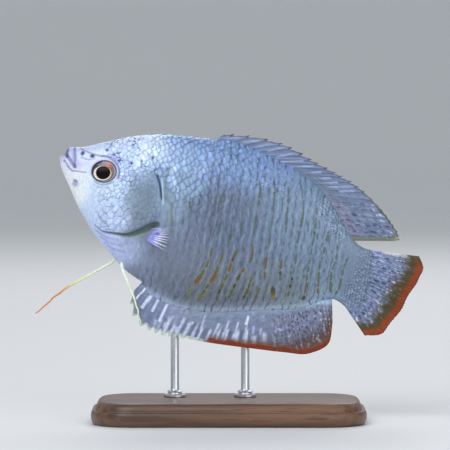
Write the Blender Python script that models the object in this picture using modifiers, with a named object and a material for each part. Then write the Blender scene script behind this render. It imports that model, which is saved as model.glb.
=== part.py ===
"""Dwarf gourami, an adult male of the powder-blue strain, as a life-size still model on a display stand.

The fish is drawn in its own frame, in millimetres: x runs back from the snout, z up to the back
and y to its right side. An empty then tips it nose-up and holds it over the stand.
"""

import math

import bmesh
import bpy
import numpy as np
from mathutils import Matrix, Vector

# Driving dimensions, in millimetres and degrees
MM = 0.001
STANDARD_LENGTH = 66.5
NOSE_UP = 21.0
GAP = 0.3
SNOUT_HEIGHT = 56.2
SNOUT_FORWARD = 35.4

# Body: x, back, belly, half width, level of the widest line, roundness of the upper and the lower half
BODY = (
    (-0.3, 0.15, -1.0, 1.0, -0.25, 0.80, 0.90),
    (0.4, 0.75, -1.85, 1.4, -0.3, 0.80, 0.92),
    (0.75, 2.25, -2.25, 1.65, -0.3, 0.80, 0.92),
    (1.3, 2.7, -2.85, 1.85, -0.3, 0.80, 0.92),
    (3.4, 3.6, -4.95, 2.55, -0.4, 0.80, 0.95),
    (7.0, 6.0, -8.6, 3.65, -0.5, 0.82, 1.00),
    (11.5, 8.9, -12.25, 4.75, -0.8, 0.86, 1.05),
    (17.0, 11.7, -15.6, 5.65, -1.2, 0.95, 1.10),
    (22.0, 13.2, -17.9, 6.10, -1.8, 1.04, 1.12),
    (28.0, 14.8, -19.0, 6.20, -2.4, 1.14, 1.14),
    (33.0, 15.6, -19.6, 5.90, -2.4, 1.20, 1.14),
    (40.0, 15.6, -18.3, 5.15, -2.0, 1.20, 1.12),
    (47.0, 14.8, -15.5, 4.25, -1.4, 1.18, 1.10),
    (53.0, 13.1, -12.9, 3.30, -0.8, 1.12, 1.06),
    (58.0, 10.1, -10.7, 2.40, -0.8, 1.05, 1.02),
    (62.0, 6.9, -8.1, 1.75, -1.0, 1.00, 1.00),
    (66.5, 5.0, -7.8, 1.10, -1.4, 0.95, 0.95),
)
NOSE_ROUNDING = 1.0
TAIL_BULGE = 0.8
TAIL_BULGE_LENGTH = 6.0
RING_POINTS = 30
BODY_RINGS = 40
RING_CROWDING = 1.25
NOSE_RINGS = 5
MERGE = 0.01
SMOOTH_ANGLE = 40

# Cuts that part the body, as x and z
MOUTH_LINE = ((-3.0, 0.6), (-0.6, 0.55), (0.55, 0.5), (1.9, 0.05), (2.7, -0.45), (3.4, -1.1))
JAW_REAR = ((4.6, -3.4), (5.9, -6.0), (7.3, -9.0), (8.6, -12.4))
GILL_LINE = (
    (19.6, 4.6),
    (21.4, 2.1),
    (22.8, -0.3),
    (23.9, -2.9),
    (24.3, -5.3),
    (23.0, -7.6),
    (19.5, -10.2),
    (15.7, -11.2),
    (12.6, -10.9),
)
NAPE_CUT = ((15.0, 16.0), (16.8, 8.6))
THROAT_CUT = ((10.6, -12.3), (9.0, -15.5))
TAIL_CUT = ((47.5, 22.0), (48.5, 0.0), (47.5, -24.0))
COVER_FRONT = ((12.1, -8.4), (12.8, -4.8), (14.6, -1.0), (16.8, 2.6))
COVER_REAR_POINTS = 22
COVER_FRONT_POINTS = 12
COVER_NEAR, COVER_FAR = 0.5, 14.0
COVER_THICKNESS = 1.1
COVER_PROUD = 0.15
CUT_REACH = 20.0

# Eye, nostrils and lips
EYE_X, EYE_Z = 9.9, 0.1
EYE_RADIUS = 2.95
EYE_HALF_DEPTH = 1.65
EYE_PROUD = 0.35
NOSTRILS = ((3.85, 2.3), (5.95, 2.5))
NOSTRIL_MOUTH = 0.43
NOSTRIL_FLOOR = 0.29
NOSTRIL_DEPTH = 0.7
SLOPE_STEP = 0.2
LIP_RADIUS = 0.5
LIP_CORNER_RADIUS = 0.24
LIP_CORNER_X = 3.1
LIP_SINK = 0.45
LIP_STEPS = 9
LIP_TRIALS = 300

# Fins: the foot of a ray on the body, then its tip as x and z
DORSAL_RAYS = (
    (28.8, 29.9, 16.6),
    (33.0, 37.2, 18.6),
    (37.0, 43.4, 19.1),
    (42.0, 49.6, 18.2),
    (47.0, 55.4, 17.5),
    (52.0, 61.4, 16.3),
    (56.0, 66.4, 14.2),
    (60.0, 70.2, 11.9),
    (62.5, 72.4, 10.2),
    (64.4, 73.2, 8.9),
)
ANAL_RAYS = (
    (25.2, 24.0, -21.2),
    (26.8, 25.2, -24.6),
    (28.8, 27.6, -26.7),
    (32.2, 31.6, -27.3),
    (38.0, 36.9, -26.6),
    (44.4, 44.4, -25.3),
    (49.2, 52.0, -23.5),
    (53.0, 58.4, -21.9),
    (58.2, 64.3, -19.8),
    (61.6, 67.0, -16.4),
    (64.3, 66.2, -12.2),
)
# The tail fin's rays: the height of the foot on the tail stem, then the tip
CAUDAL_RAYS = (
    (4.7, 78.2, 7.6),
    (3.6, 79.9, 5.6),
    (2.2, 80.1, 3.4),
    (0.2, 79.5, 0.8),
    (-1.6, 79.1, -2.2),
    (-3.4, 78.6, -5.4),
    (-5.0, 77.6, -8.6),
    (-6.6, 76.1, -11.2),
    (-7.5, 73.6, -12.4),
)
DORSAL_RAY_COUNT = 24
ANAL_RAY_COUNT = 32
CAUDAL_RAY_COUNT = 16
PECTORAL_RAY_COUNT = 10
WEB_AT_ROOT = 0.36
WEB_AT_TIP = 0.22
RAY_RIDGE = 0.16
RIDGE_START = 0.2
DORSAL_ROWS = 5
ANAL_ROWS = 6
CAUDAL_ROWS = 7
PECTORAL_ROWS = 6
SMALL_WAVE = 0.3
TAIL_WAVE = 0.5
SPINE_TOOTH = 0.45
SOFT_TOOTH = 0.2
WAVES = 1.6
WAVE_START = 0.15

# Breast fins: middle of the root on the flank, then each ray's share of the root, its angle and length
PECTORAL_X, PECTORAL_Z = 24.4, -8.5
PECTORAL_ROOT_HEIGHT = 2.8
PECTORAL_RAYS = (
    (0.0, 34.0, 10.5),
    (0.25, 27.0, 13.2),
    (0.5, 18.0, 12.8),
    (0.75, 2.0, 9.0),
    (1.0, -26.0, 5.2),
)
PECTORAL_OUT = 27.0
PECTORAL_ROOT_SINK = 1.2

# Feelers: points of the centre line, as x, distance from the midplane and z
LEFT_FEELER = (
    (19.6, -0.7, -15.4),
    (20.2, -1.7, -17.0),
    (22.6, -2.7, -19.7),
    (25.2, -3.5, -22.5),
    (28.3, -4.1, -26.9),
)
RIGHT_FEELER = (
    (18.8, 0.7, -15.0),
    (18.0, 1.8, -16.8),
    (15.3, 3.2, -20.3),
    (10.0, 5.2, -27.0),
    (6.4, 6.4, -33.8),
)
FEELER_ROOT_RADIUS = 0.46
FEELER_TIP_RADIUS = 0.18
FEELER_POINTS = 15

# Stand
BASE_LENGTH = 58.0
BASE_DEPTH = 30.0
BASE_HEIGHT = 5.0
BASE_CORNER = 9.0
CORNER_POINTS = 7
# The base's edge from its foot to its top: how far inside the outline, and the height
BASE_PROFILE = (
    (1.0, 0.0),
    (0.3, 0.3),
    (0.0, 1.0),
    (0.0, 2.6),
    (0.75, 3.05),
    (1.0, 3.9),
    (1.7, 4.7),
    (3.2, BASE_HEIGHT),
)
ROD_RADIUS = 0.9
ROD_SPACING = 15.0
ROD_MIDDLE = -4.0
ROD_OFFSET = 2.7
ROD_TOP = 40.0
ROD_SIDES = 16
COLLAR_RADIUS = 2.4
COLLAR_EDGE = 0.72
COLLAR_HEIGHT = 1.2
NECK_RADIUS = 1.17
NECK_HEIGHT = 1.56

# Finishes: colour, roughness, metallic
SKIN = ("skin", (0.48, 0.58, 0.80), 0.35, 0.25)
COVER = ("gill_cover", (0.56, 0.66, 0.86), 0.32, 0.3)
LIP = ("jaw", (0.62, 0.66, 0.86), 0.4, 0.1)
FIN = ("fin", (0.50, 0.54, 0.72), 0.4, 0.1)
FEELER = ("feeler", (0.86, 0.66, 0.28), 0.45, 0.0)
EYE = ("eye", (0.02, 0.02, 0.03), 0.08, 0.0)
WOOD = ("wood", (0.09, 0.05, 0.03), 0.45, 0.0)
STEEL = ("steel", (0.62, 0.62, 0.64), 0.28, 1.0)


def curve_through(knots, values, at):
    """A smooth curve through the values at the knots, read at the places asked for."""
    knots = np.asarray(knots, float)
    values = np.asarray(values, float)
    slopes = np.gradient(values, knots)
    at = np.clip(np.asarray(at, float), knots[0], knots[-1])
    i = np.clip(np.searchsorted(knots, at, side="right") - 1, 0, len(knots) - 2)
    width = knots[i + 1] - knots[i]
    t = (at - knots[i]) / width
    rise = values[i + 1] - values[i]
    first = slopes[i] * width - rise
    last = rise - slopes[i + 1] * width
    return values[i] + t * rise + t * (1 - t) * ((1 - t) * first + t * last)


def curve_of_points(points, count):
    """Points evenly spread along a smooth curve through the points given."""
    points = np.asarray(points, float)
    steps = np.linalg.norm(np.diff(points, axis=0), axis=1)
    along = np.concatenate([[0.0], np.cumsum(steps)])
    at = np.linspace(0, along[-1], count)
    columns = [curve_through(along, points[:, k], at) for k in range(points.shape[1])]
    return np.column_stack(columns)


def body_column(column, x):
    rows = np.asarray(BODY, float)
    return curve_through(rows[:, 0], rows[:, column], x)


def section(x, grow=0.0):
    """Back, belly, half width, widest level and the two roundnesses of the body's section at x."""
    back, belly, half, level, upper, lower = (body_column(k, x) for k in range(1, 7))
    short = np.clip((BODY[0][0] + NOSE_ROUNDING - x) / NOSE_ROUNDING, 0, 1)
    closing = np.sqrt(1 - short * short)
    back = level + (back - level) * closing + grow
    belly = level - (level - belly) * closing - grow
    return back, belly, half * closing + grow, level, upper, lower


def body_points(x, angle, grow=0.0):
    """Points of the body's surface. The angle runs from 0 on the right side to 90 degrees on the back."""
    back, belly, half, level, upper, lower = section(x, grow)
    rise, side = np.sin(angle), np.cos(angle)
    reach = np.where(rise > 0, back - level, level - belly)
    roundness = np.where(rise > 0, upper, lower)
    bulge = TAIL_BULGE * np.clip((x - STANDARD_LENGTH) / TAIL_BULGE_LENGTH + 1, 0, 1) ** 2
    y = half * np.sign(side) * np.abs(side) ** roundness
    return np.stack(np.broadcast_arrays(x + bulge * side * side, y, level + reach * rise), axis=-1)


def half_width(x, z, grow=0.0):
    """Half width of the body at a place of its side view."""
    back, belly, half, level, upper, lower = section(x, grow)
    reach = np.where(z > level, back - level, level - belly)
    roundness = np.where(z > level, upper, lower)
    share = np.clip((z - level) / np.maximum(reach, 1e-6), -1, 1)
    return half * (1 - share * share) ** (roundness / 2)


def clear_scene():
    for obj in list(bpy.data.objects):
        bpy.data.objects.remove(obj)


def finish(spec):
    name, colour, roughness, metallic = spec
    material = bpy.data.materials.get(name) or bpy.data.materials.new(name)
    material.use_nodes = True
    shader = material.node_tree.nodes["Principled BSDF"]
    shader.inputs["Base Color"].default_value = (*colour, 1.0)
    shader.inputs["Roughness"].default_value = roughness
    shader.inputs["Metallic"].default_value = metallic
    return material


def mesh_object(name, points, faces, spec=None):
    """A new object from points in millimetres, with its faces turned outwards."""
    mesh = bpy.data.meshes.new(name)
    mesh.from_pydata([tuple(p) for p in np.asarray(points, float) * MM], [], faces)
    work = bmesh.new()
    work.from_mesh(mesh)
    bmesh.ops.recalc_face_normals(work, faces=work.faces)
    work.to_mesh(mesh)
    work.free()
    obj = bpy.data.objects.new(name, mesh)
    bpy.context.scene.collection.objects.link(obj)
    if spec:
        mesh.materials.append(finish(spec))
    return obj


def apply_modifiers(obj):
    """Makes the object's evaluated shape its own mesh."""
    graph = bpy.context.evaluated_depsgraph_get()
    mesh = bpy.data.meshes.new_from_object(obj.evaluated_get(graph))
    obj.modifiers.clear()
    obj.data = mesh
    return obj


def boolean(obj, others, operation):
    """Cuts, joins or intersects the object with a collection of others, which are then removed."""
    group = bpy.data.collections.new("cutters")
    bpy.context.scene.collection.children.link(group)
    for other in others:
        group.objects.link(other)
        other.hide_render = True
        other.display_type = "WIRE"
    modifier = obj.modifiers.new("boolean", "BOOLEAN")
    modifier.operation = operation
    modifier.solver = "EXACT"
    modifier.operand_type = "COLLECTION"
    modifier.collection = group
    bpy.context.view_layer.update()
    apply_modifiers(obj)
    for other in others:
        bpy.data.objects.remove(other)
    bpy.data.collections.remove(group)
    return obj


def islands(obj):
    """The separate closed surfaces of the object's mesh, largest first, as lists of face indices."""
    work = bmesh.new()
    work.from_mesh(obj.data)
    left = set(work.faces)
    found = []
    while left:
        stack = [left.pop()]
        island = list(stack)
        while stack:
            near = {f for e in stack.pop().edges for f in e.link_faces} & left
            left -= near
            stack.extend(near)
            island.extend(near)
        found.append([f.index for f in island])
    work.free()
    return sorted(found, key=len, reverse=True)


def keep_island(obj, keep):
    """Deletes every face of the object's mesh that isn't in the list."""
    work = bmesh.new()
    work.from_mesh(obj.data)
    keep = set(keep)
    drop = [f for f in work.faces if f.index not in keep]
    bmesh.ops.delete(work, geom=drop, context="FACES")
    work.to_mesh(obj.data)
    work.free()
    return obj


def keep_largest(obj):
    return keep_island(obj, islands(obj)[0])


def split(obj, cutter, names):
    """Parts the object with a thin cutter, and names its two largest pieces from front to back."""
    boolean(obj, [cutter], "DIFFERENCE")
    pieces = []
    for faces in islands(obj)[:2]:
        copy = obj.copy()
        copy.data = obj.data.copy()
        bpy.context.scene.collection.objects.link(copy)
        pieces.append(keep_island(copy, faces))
    bpy.data.objects.remove(obj)
    pieces.sort(key=lambda o: sum(v.co.x for v in o.data.vertices) / len(o.data.vertices))
    for piece, name in zip(pieces, names):
        piece.name = name
    return pieces


def offset_line(points, distance):
    """The line moved sideways by a distance, to its left as seen along it."""
    points = np.asarray(points, float)
    tangents = np.gradient(points, axis=0)
    tangents /= np.linalg.norm(tangents, axis=1)[:, None]
    return points + distance * np.column_stack([-tangents[:, 1], tangents[:, 0]])


def curve_to_mesh(source, name):
    """A closed mesh object from a curve object, which is removed."""
    bpy.context.scene.collection.objects.link(source)
    bpy.context.view_layer.update()
    graph = bpy.context.evaluated_depsgraph_get()
    mesh = bpy.data.meshes.new_from_object(source.evaluated_get(graph))
    mesh.transform(source.matrix_world)
    work = bmesh.new()
    work.from_mesh(mesh)
    bmesh.ops.remove_doubles(work, verts=work.verts, dist=MM * MERGE)
    bmesh.ops.recalc_face_normals(work, faces=work.faces)
    work.to_mesh(mesh)
    work.free()
    bpy.data.objects.remove(source)
    obj = bpy.data.objects.new(name, mesh)
    bpy.context.scene.collection.objects.link(obj)
    return obj


def outline_curve(name, outline, thickness):
    """A filled curve object in its own x and y, as thick as asked for."""
    curve = bpy.data.curves.new(name, "CURVE")
    curve.dimensions = "2D"
    curve.fill_mode = "BOTH"
    curve.extrude = thickness / 2 * MM
    spline = curve.splines.new("POLY")
    spline.points.add(len(outline) - 1)
    spline.use_cyclic_u = True
    for knot, (x, y) in zip(spline.points, outline):
        knot.co = (x * MM, y * MM, 0.0, 1.0)
    return bpy.data.objects.new(name, curve)


def prism(name, outline, near, far):
    """A solid from an outline in x and z, drawn from y near to y far."""
    source = outline_curve(name, outline, abs(far - near))
    middle = Matrix.Translation(Vector((0.0, (near + far) / 2, 0.0)) * MM)
    source.matrix_world = middle @ Matrix.Rotation(math.pi / 2, 4, "X")
    return curve_to_mesh(source, name)


def thin_cutter(points):
    """A slab as thick as the gap that follows a line right through the fish."""
    line = curve_of_points(points, 4 * len(points))
    outline = np.vstack([offset_line(line, GAP / 2), offset_line(line, -GAP / 2)[::-1]])
    return prism("cutter", outline, -CUT_REACH, CUT_REACH)


def ring_solid(name, rings, spec=None):
    """A closed solid lofted through rings of equally many points, with flat ends."""
    count = len(rings[0])
    points = [p for ring in rings for p in ring]
    faces = [tuple(range(count)), tuple(len(points) - count + j for j in range(count))]
    for i in range(len(rings) - 1):
        for j in range(count):
            a, b = i * count + j, i * count + (j + 1) % count
            faces += [(a, b, b + count), (a, b + count, a + count)]
    return mesh_object(name, points, faces, spec)


def body_solid(name, grow=0.0, spec=None):
    """The whole fish without fins, larger all round by grow where that is given."""
    start = BODY[0][0]
    turn = np.linspace(0, math.pi / 2, NOSE_RINGS + 1)[1:]
    nose = start + NOSE_ROUNDING * (1 - np.cos(turn))
    steps = np.linspace(0, 1, BODY_RINGS + 1)[1:] ** RING_CROWDING
    rest = start + NOSE_ROUNDING + (STANDARD_LENGTH - start - NOSE_ROUNDING) * steps
    angles = np.linspace(0, 2 * math.pi, RING_POINTS, endpoint=False)
    rings = [body_points(x, angles, grow) for x in (*nose, *rest)]
    rings[0][:, 0] -= grow
    rings[-1][:, 0] += grow
    return ring_solid(name, rings, spec)


def tube(name, points, radii, spec=None):
    """A round tube along a line of points, in millimetres, with its own radius at each point."""
    curve = bpy.data.curves.new(name, "CURVE")
    curve.dimensions = "3D"
    curve.bevel_depth = MM
    curve.bevel_resolution = 2
    curve.use_fill_caps = True
    spline = curve.splines.new("POLY")
    spline.points.add(len(points) - 1)
    for knot, place, radius in zip(spline.points, points, radii):
        knot.co = (*(np.asarray(place) * MM), 1.0)
        knot.radius = radius
    obj = curve_to_mesh(bpy.data.objects.new(name, curve), name)
    if spec:
        obj.data.materials.append(finish(spec))
    return obj


def ellipsoid(name, centre, radii, segments=20, rings=12, spec=None):
    bpy.ops.mesh.primitive_uv_sphere_add(segments=segments, ring_count=rings, radius=MM)
    obj = bpy.context.active_object
    obj.name = name
    place = Matrix.Translation(Vector(centre) * MM)
    quarter_turn = Matrix.Rotation(math.pi / 2, 4, "X")
    obj.data.transform(place @ Matrix.Diagonal((*radii, 1.0)) @ quarter_turn)
    if spec:
        obj.data.materials.append(finish(spec))
    return obj


def eye_centre(side):
    """Middle of an eye. Side is -1 on the left and 1 on the right."""
    surface = float(half_width(EYE_X, EYE_Z))
    return (EYE_X, side * (surface + EYE_PROUD - EYE_HALF_DEPTH), EYE_Z)


def make_eye(side, name):
    return ellipsoid(name, eye_centre(side), (EYE_RADIUS, EYE_HALF_DEPTH, EYE_RADIUS), spec=EYE)


def eye_socket(side):
    radii = (EYE_RADIUS + GAP, EYE_HALF_DEPTH + GAP, EYE_RADIUS + GAP)
    return ellipsoid("socket", eye_centre(side), radii)


def nostril_cutter(x, z, side):
    """A short peg into the snout, along the surface's normal."""
    y = float(half_width(x, z))
    below, above = (float(half_width(x, z + way * SLOPE_STEP)) for way in (-1, 1))
    lean = (below - above) / (2 * SLOPE_STEP)
    normal = Vector((0.0, side, lean)).normalized()
    middle = Vector((x, side * y, z))
    ends = [middle + normal * NOSTRIL_DEPTH, middle - normal * NOSTRIL_DEPTH]
    return tube("nostril", ends, (NOSTRIL_MOUTH, NOSTRIL_FLOOR))


def mouth_height(x):
    line = np.asarray(MOUTH_LINE, float)
    return curve_through(line[:, 0], line[:, 1], x)


def lip(above):
    """A lip on one side of the mouth line, round the snout. Above is 1 for the upper, -1 for the lower."""
    trial = np.linspace(BODY[0][0], LIP_CORNER_X, LIP_TRIALS)
    inside = half_width(trial, mouth_height(trial) + above * LIP_RADIUS) > 0
    front = trial[np.argmax(inside)]
    steps = np.sin(np.linspace(0, math.pi / 2, LIP_STEPS))
    xs = LIP_CORNER_X + (front - LIP_CORNER_X) * steps
    radii = LIP_CORNER_RADIUS + (LIP_RADIUS - LIP_CORNER_RADIUS) * steps
    zs = mouth_height(xs) + above * (radii + GAP / 2)
    ys = np.maximum(half_width(xs, zs) - radii * LIP_SINK, 0) * (steps < 1)
    xs = xs + radii * LIP_SINK * steps
    left = list(zip(xs, -ys, zs))
    right = list(zip(xs, ys, zs))[-2::-1]
    return tube("lip", left + right, [*radii, *radii[-2::-1]])


def cover_outline(margin=0.0):
    """Outline of a gill cover in x and z, wider all round by the margin where that is given."""
    corners = np.asarray((*GILL_LINE, *COVER_FRONT, GILL_LINE[0]), float)
    rear = curve_of_points(GILL_LINE, COVER_REAR_POINTS)
    front = curve_of_points((GILL_LINE[-1], *COVER_FRONT, GILL_LINE[0]), COVER_FRONT_POINTS)[1:-1]
    loop = np.vstack([rear, front])
    middle = corners.mean(axis=0)
    before, after = np.roll(loop, 1, axis=0), np.roll(loop, -1, axis=0)
    along = after - before
    along /= np.linalg.norm(along, axis=1)[:, None]
    outward = np.column_stack([along[:, 1], -along[:, 0]])
    facing = np.sign(np.sum(outward * (loop - middle), axis=1))
    return loop + outward * facing[:, None] * (margin - GAP / 2)


def make_cover(side, name):
    """The gill cover of one side, a plate that stands a little proud of the head."""
    plate = body_solid(name, COVER_PROUD, COVER)
    boolean(plate, [prism("region", cover_outline(), side * COVER_NEAR, side * COVER_FAR)], "INTERSECT")
    boolean(plate, [body_solid("core", -COVER_THICKNESS)], "DIFFERENCE")
    return keep_largest(plate)


def cover_recess(side):
    """What the head loses so that the gill cover lies in it with a gap all round."""
    recess = prism("recess", cover_outline(GAP), side * COVER_NEAR, side * COVER_FAR)
    return boolean(recess, [body_solid("core", -COVER_THICKNESS - GAP)], "DIFFERENCE")


def make_body():
    """Lower jaw, head, trunk and tail stem, parted by thin cuts."""
    whole = body_solid("fish", spec=SKIN)
    head_cut = thin_cutter((*NAPE_CUT, *GILL_LINE, *THROAT_CUT))
    head, trunk = split(whole, head_cut, ("head", "torso"))
    torso, stem = split(trunk, thin_cutter(TAIL_CUT), ("torso", "tail_stem"))
    jaw, head = split(head, thin_cutter((*MOUTH_LINE, *JAW_REAR)), ("lower_jaw", "head"))
    hollows = [eye_socket(side) for side in (-1, 1)]
    hollows += [cover_recess(side) for side in (-1, 1)]
    hollows += [nostril_cutter(x, z, side) for x, z in NOSTRILS for side in (-1, 1)]
    boolean(head, hollows, "DIFFERENCE")
    boolean(head, [lip(1)], "UNION")
    boolean(jaw, [lip(-1)], "UNION")
    for piece in (jaw, head, torso, stem):
        keep_largest(piece)
    jaw.data.materials.clear()
    jaw.data.materials.append(finish(LIP))
    return [jaw, head, torso, stem]


def fin(name, feet, tips, rays, rows, tooth, wave, place=None):
    """A fin from functions that give the feet and the tips of its rays, as x and z.

    It is a sheet split into triangles, thickened alike on both sides, and each ray is a ridge on it.
    The function place, where given, turns flat x, y, z into the fin's place.
    """
    columns = 2 * rays
    share = np.linspace(0, 1, columns + 1)
    foot, tip = feet(share), tips(share)
    crest = np.arange(columns + 1) % 2
    length = np.linalg.norm(tip - foot, axis=1)
    tip = tip + (tip - foot) * (tooth * (crest - 0.5) / length)[:, None]
    work = bmesh.new()
    bmesh.ops.create_grid(work, x_segments=columns, y_segments=rows, size=1.0)
    widths = []
    for vert in work.verts:
        i = round((vert.co.x + 1) / 2 * columns)
        t = (vert.co.y + 1) / 2
        ridge = RAY_RIDGE * crest[i] * min(1, t / RIDGE_START) * (1 - 0.5 * t)
        widths.append(WEB_AT_ROOT + (WEB_AT_TIP - WEB_AT_ROOT) * t + ridge)
        x, z = foot[i] + (tip[i] - foot[i]) * t
        y = wave * t * t * math.sin(2 * math.pi * (WAVES * share[i] + WAVE_START))
        spot = (x, y, z)
        vert.co = Vector(place(spot) if place else spot) * MM
    bmesh.ops.triangulate(work, faces=work.faces, quad_method="FIXED")
    mesh = bpy.data.meshes.new(name)
    work.to_mesh(mesh)
    work.free()
    mesh.materials.append(finish(FIN))
    obj = bpy.data.objects.new(name, mesh)
    bpy.context.scene.collection.objects.link(obj)
    thickest = max(widths)
    group = obj.vertex_groups.new(name="thickness")
    for i, width in enumerate(widths):
        group.add([i], width / thickest, "REPLACE")
    shell = obj.modifiers.new("thickness", "SOLIDIFY")
    shell.thickness = 2 * thickest * MM
    shell.offset = 0.0
    shell.vertex_group = group.name
    return obj


def ray_tips(table):
    """A function from 0 to 1 along a fin to the tips of its rays."""
    table = np.asarray(table, float)
    return lambda u: np.column_stack([curve_through(table[:, 0], table[:, k], u) for k in (1, 2)])


def shares(first, last, table):
    """The table with its first column turned into the share of the way along the fin's root."""
    return [((row[0] - first) / (last - first), *row[1:]) for row in table]


def make_median_fin(name, table, column, outward, rays, rows):
    """The dorsal or anal fin, rooted a gap away from the back or the belly."""
    first, last = table[0][0], table[-1][0]

    def feet(u):
        x = first + (last - first) * u
        return np.column_stack([x, section(x)[column] + outward * GAP])

    tips = ray_tips(shares(first, last, table))
    return fin(name, feet, tips, rays, rows, SPINE_TOOTH, SMALL_WAVE)


def make_caudal():
    """The tail fin, rooted on the curved end of the tail stem."""
    first, last = CAUDAL_RAYS[0][0], CAUDAL_RAYS[-1][0]
    back, belly, _, level, _, _ = section(STANDARD_LENGTH)

    def feet(u):
        z = first + (last - first) * u
        reach = np.where(z > level, back - level, level - belly)
        bulge = TAIL_BULGE * (1 - ((z - level) / reach) ** 2)
        return np.column_stack([STANDARD_LENGTH + bulge + GAP, z])

    tips = ray_tips(shares(first, last, CAUDAL_RAYS))
    return fin("caudal_fin", feet, tips, CAUDAL_RAY_COUNT, CAUDAL_ROWS, SOFT_TOOTH, TAIL_WAVE)


def make_pectoral(side, name):
    """A breast fin that fans back and out from its root on the flank."""
    out = math.radians(PECTORAL_OUT) * side
    root = side * float(half_width(PECTORAL_X, PECTORAL_Z))
    table = np.asarray(PECTORAL_RAYS, float)

    def feet(u):
        return np.column_stack([np.full_like(u, -PECTORAL_ROOT_SINK), PECTORAL_ROOT_HEIGHT * (0.5 - u)])

    def tips(u):
        angle, length = (curve_through(table[:, 0], table[:, k], u) for k in (1, 2))
        angle = np.radians(angle)
        return np.column_stack([length * np.cos(angle), length * np.sin(angle)])

    def place(spot):
        x, y, z = spot
        turned = (x * math.cos(out) - y * math.sin(out), x * math.sin(out) + y * math.cos(out))
        return (PECTORAL_X + turned[0], root + turned[1], PECTORAL_Z + z)

    blade = fin(name, feet, tips, PECTORAL_RAY_COUNT, PECTORAL_ROWS, SOFT_TOOTH, SMALL_WAVE, place)
    boolean(blade, [body_solid("clearance", GAP)], "DIFFERENCE")
    return keep_largest(blade)


def make_feeler(name, route):
    """A pelvic fin, which is one long thread, cut a gap away from the belly."""
    points = curve_of_points(route, FEELER_POINTS)
    t = np.linspace(0, 1, len(points))
    radii = FEELER_ROOT_RADIUS + (FEELER_TIP_RADIUS - FEELER_ROOT_RADIUS) * t
    thread = tube(name, points, radii, spec=FEELER)
    boolean(thread, [body_solid("clearance", GAP)], "DIFFERENCE")
    return keep_largest(thread)


def pose_matrix():
    """Tips the fish nose-up and lifts it over the stand."""
    place = Matrix.Translation(Vector((-SNOUT_FORWARD, 0.0, SNOUT_HEIGHT)) * MM)
    return place @ Matrix.Rotation(math.radians(NOSE_UP), 4, "Y")


def base_outline(inset):
    """The base's round-cornered outline, drawn in by the inset."""
    half_x, half_y = BASE_LENGTH / 2 - BASE_CORNER, BASE_DEPTH / 2 - BASE_CORNER
    radius = BASE_CORNER - inset
    outline = []
    for turn, sx, sy in ((0, 1, 1), (1, -1, 1), (2, -1, -1), (3, 1, -1)):
        for a in np.linspace(turn, turn + 1, CORNER_POINTS) * math.pi / 2:
            outline.append((sx * half_x + radius * math.cos(a), sy * half_y + radius * math.sin(a)))
    return outline


def make_base():
    """The stand's base, a board with round corners and a moulded edge."""
    rings = [[(x, y, height) for x, y in base_outline(inset)] for inset, height in BASE_PROFILE]
    return ring_solid("stand_base", rings, WOOD)


def make_rod(name, x):
    """A turned rod with a collar at its foot, cut a gap away from the fish's flank."""
    profile = (
        (0.0, ROD_TOP),
        (ROD_RADIUS, ROD_TOP),
        (ROD_RADIUS, NECK_HEIGHT),
        (NECK_RADIUS, COLLAR_HEIGHT),
        (COLLAR_RADIUS, COLLAR_EDGE),
        (COLLAR_RADIUS, 0.0),
        (0.0, 0.0),
    )
    mesh = bpy.data.meshes.new(name)
    edges = [(i, i + 1) for i in range(len(profile) - 1)]
    mesh.from_pydata([(r * MM, 0.0, z * MM) for r, z in profile], edges, [])
    mesh.materials.append(finish(STEEL))
    rod = bpy.data.objects.new(name, mesh)
    bpy.context.scene.collection.objects.link(rod)
    lathe = rod.modifiers.new("lathe", "SCREW")
    lathe.steps = ROD_SIDES
    lathe.render_steps = ROD_SIDES
    lathe.use_merge_vertices = True
    lathe.merge_threshold = MM * MERGE
    bpy.context.view_layer.update()
    apply_modifiers(rod)
    rod.data.transform(Matrix.Translation(Vector((x, ROD_OFFSET, BASE_HEIGHT + GAP)) * MM))
    clearance = body_solid("clearance", GAP)
    clearance.data.transform(pose_matrix())
    boolean(rod, [clearance], "DIFFERENCE")
    lowest = min(islands(rod), key=lambda faces: min(rod.data.polygons[f].center.z for f in faces))
    return keep_island(rod, lowest)


def collect(name, objects):
    """Puts the objects in one collection named for the model, shaded smooth across shallow edges."""
    group = bpy.data.collections.new(name)
    bpy.context.scene.collection.children.link(group)
    for obj in objects:
        for old in list(obj.users_collection):
            old.objects.unlink(obj)
        group.objects.link(obj)
        if obj.type == "MESH":
            obj.data.shade_smooth()
            obj.data.set_sharp_from_angle(angle=math.radians(SMOOTH_ANGLE))


def main():
    clear_scene()
    fish = make_body()
    for side, word in ((-1, "left"), (1, "right")):
        fish.append(make_cover(side, f"gill_cover_{word}"))
        fish.append(make_eye(side, f"eye_{word}"))
        fish.append(make_pectoral(side, f"pectoral_fin_{word}"))
    fish.append(make_feeler("pelvic_feeler_left", LEFT_FEELER))
    fish.append(make_feeler("pelvic_feeler_right", RIGHT_FEELER))
    fish.append(make_median_fin("dorsal_fin", DORSAL_RAYS, 0, 1, DORSAL_RAY_COUNT, DORSAL_ROWS))
    fish.append(make_median_fin("anal_fin", ANAL_RAYS, 1, -1, ANAL_RAY_COUNT, ANAL_ROWS))
    fish.append(make_caudal())
    pose = bpy.data.objects.new("fish_pose", None)
    bpy.context.scene.collection.objects.link(pose)
    pose.matrix_world = pose_matrix()
    for obj in fish:
        obj.parent = pose
    rods = [make_rod("stand_rod_front", ROD_MIDDLE - ROD_SPACING / 2)]
    rods.append(make_rod("stand_rod_rear", ROD_MIDDLE + ROD_SPACING / 2))
    collect("dwarf_gourami", [*fish, make_base(), *rods])


main()
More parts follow.
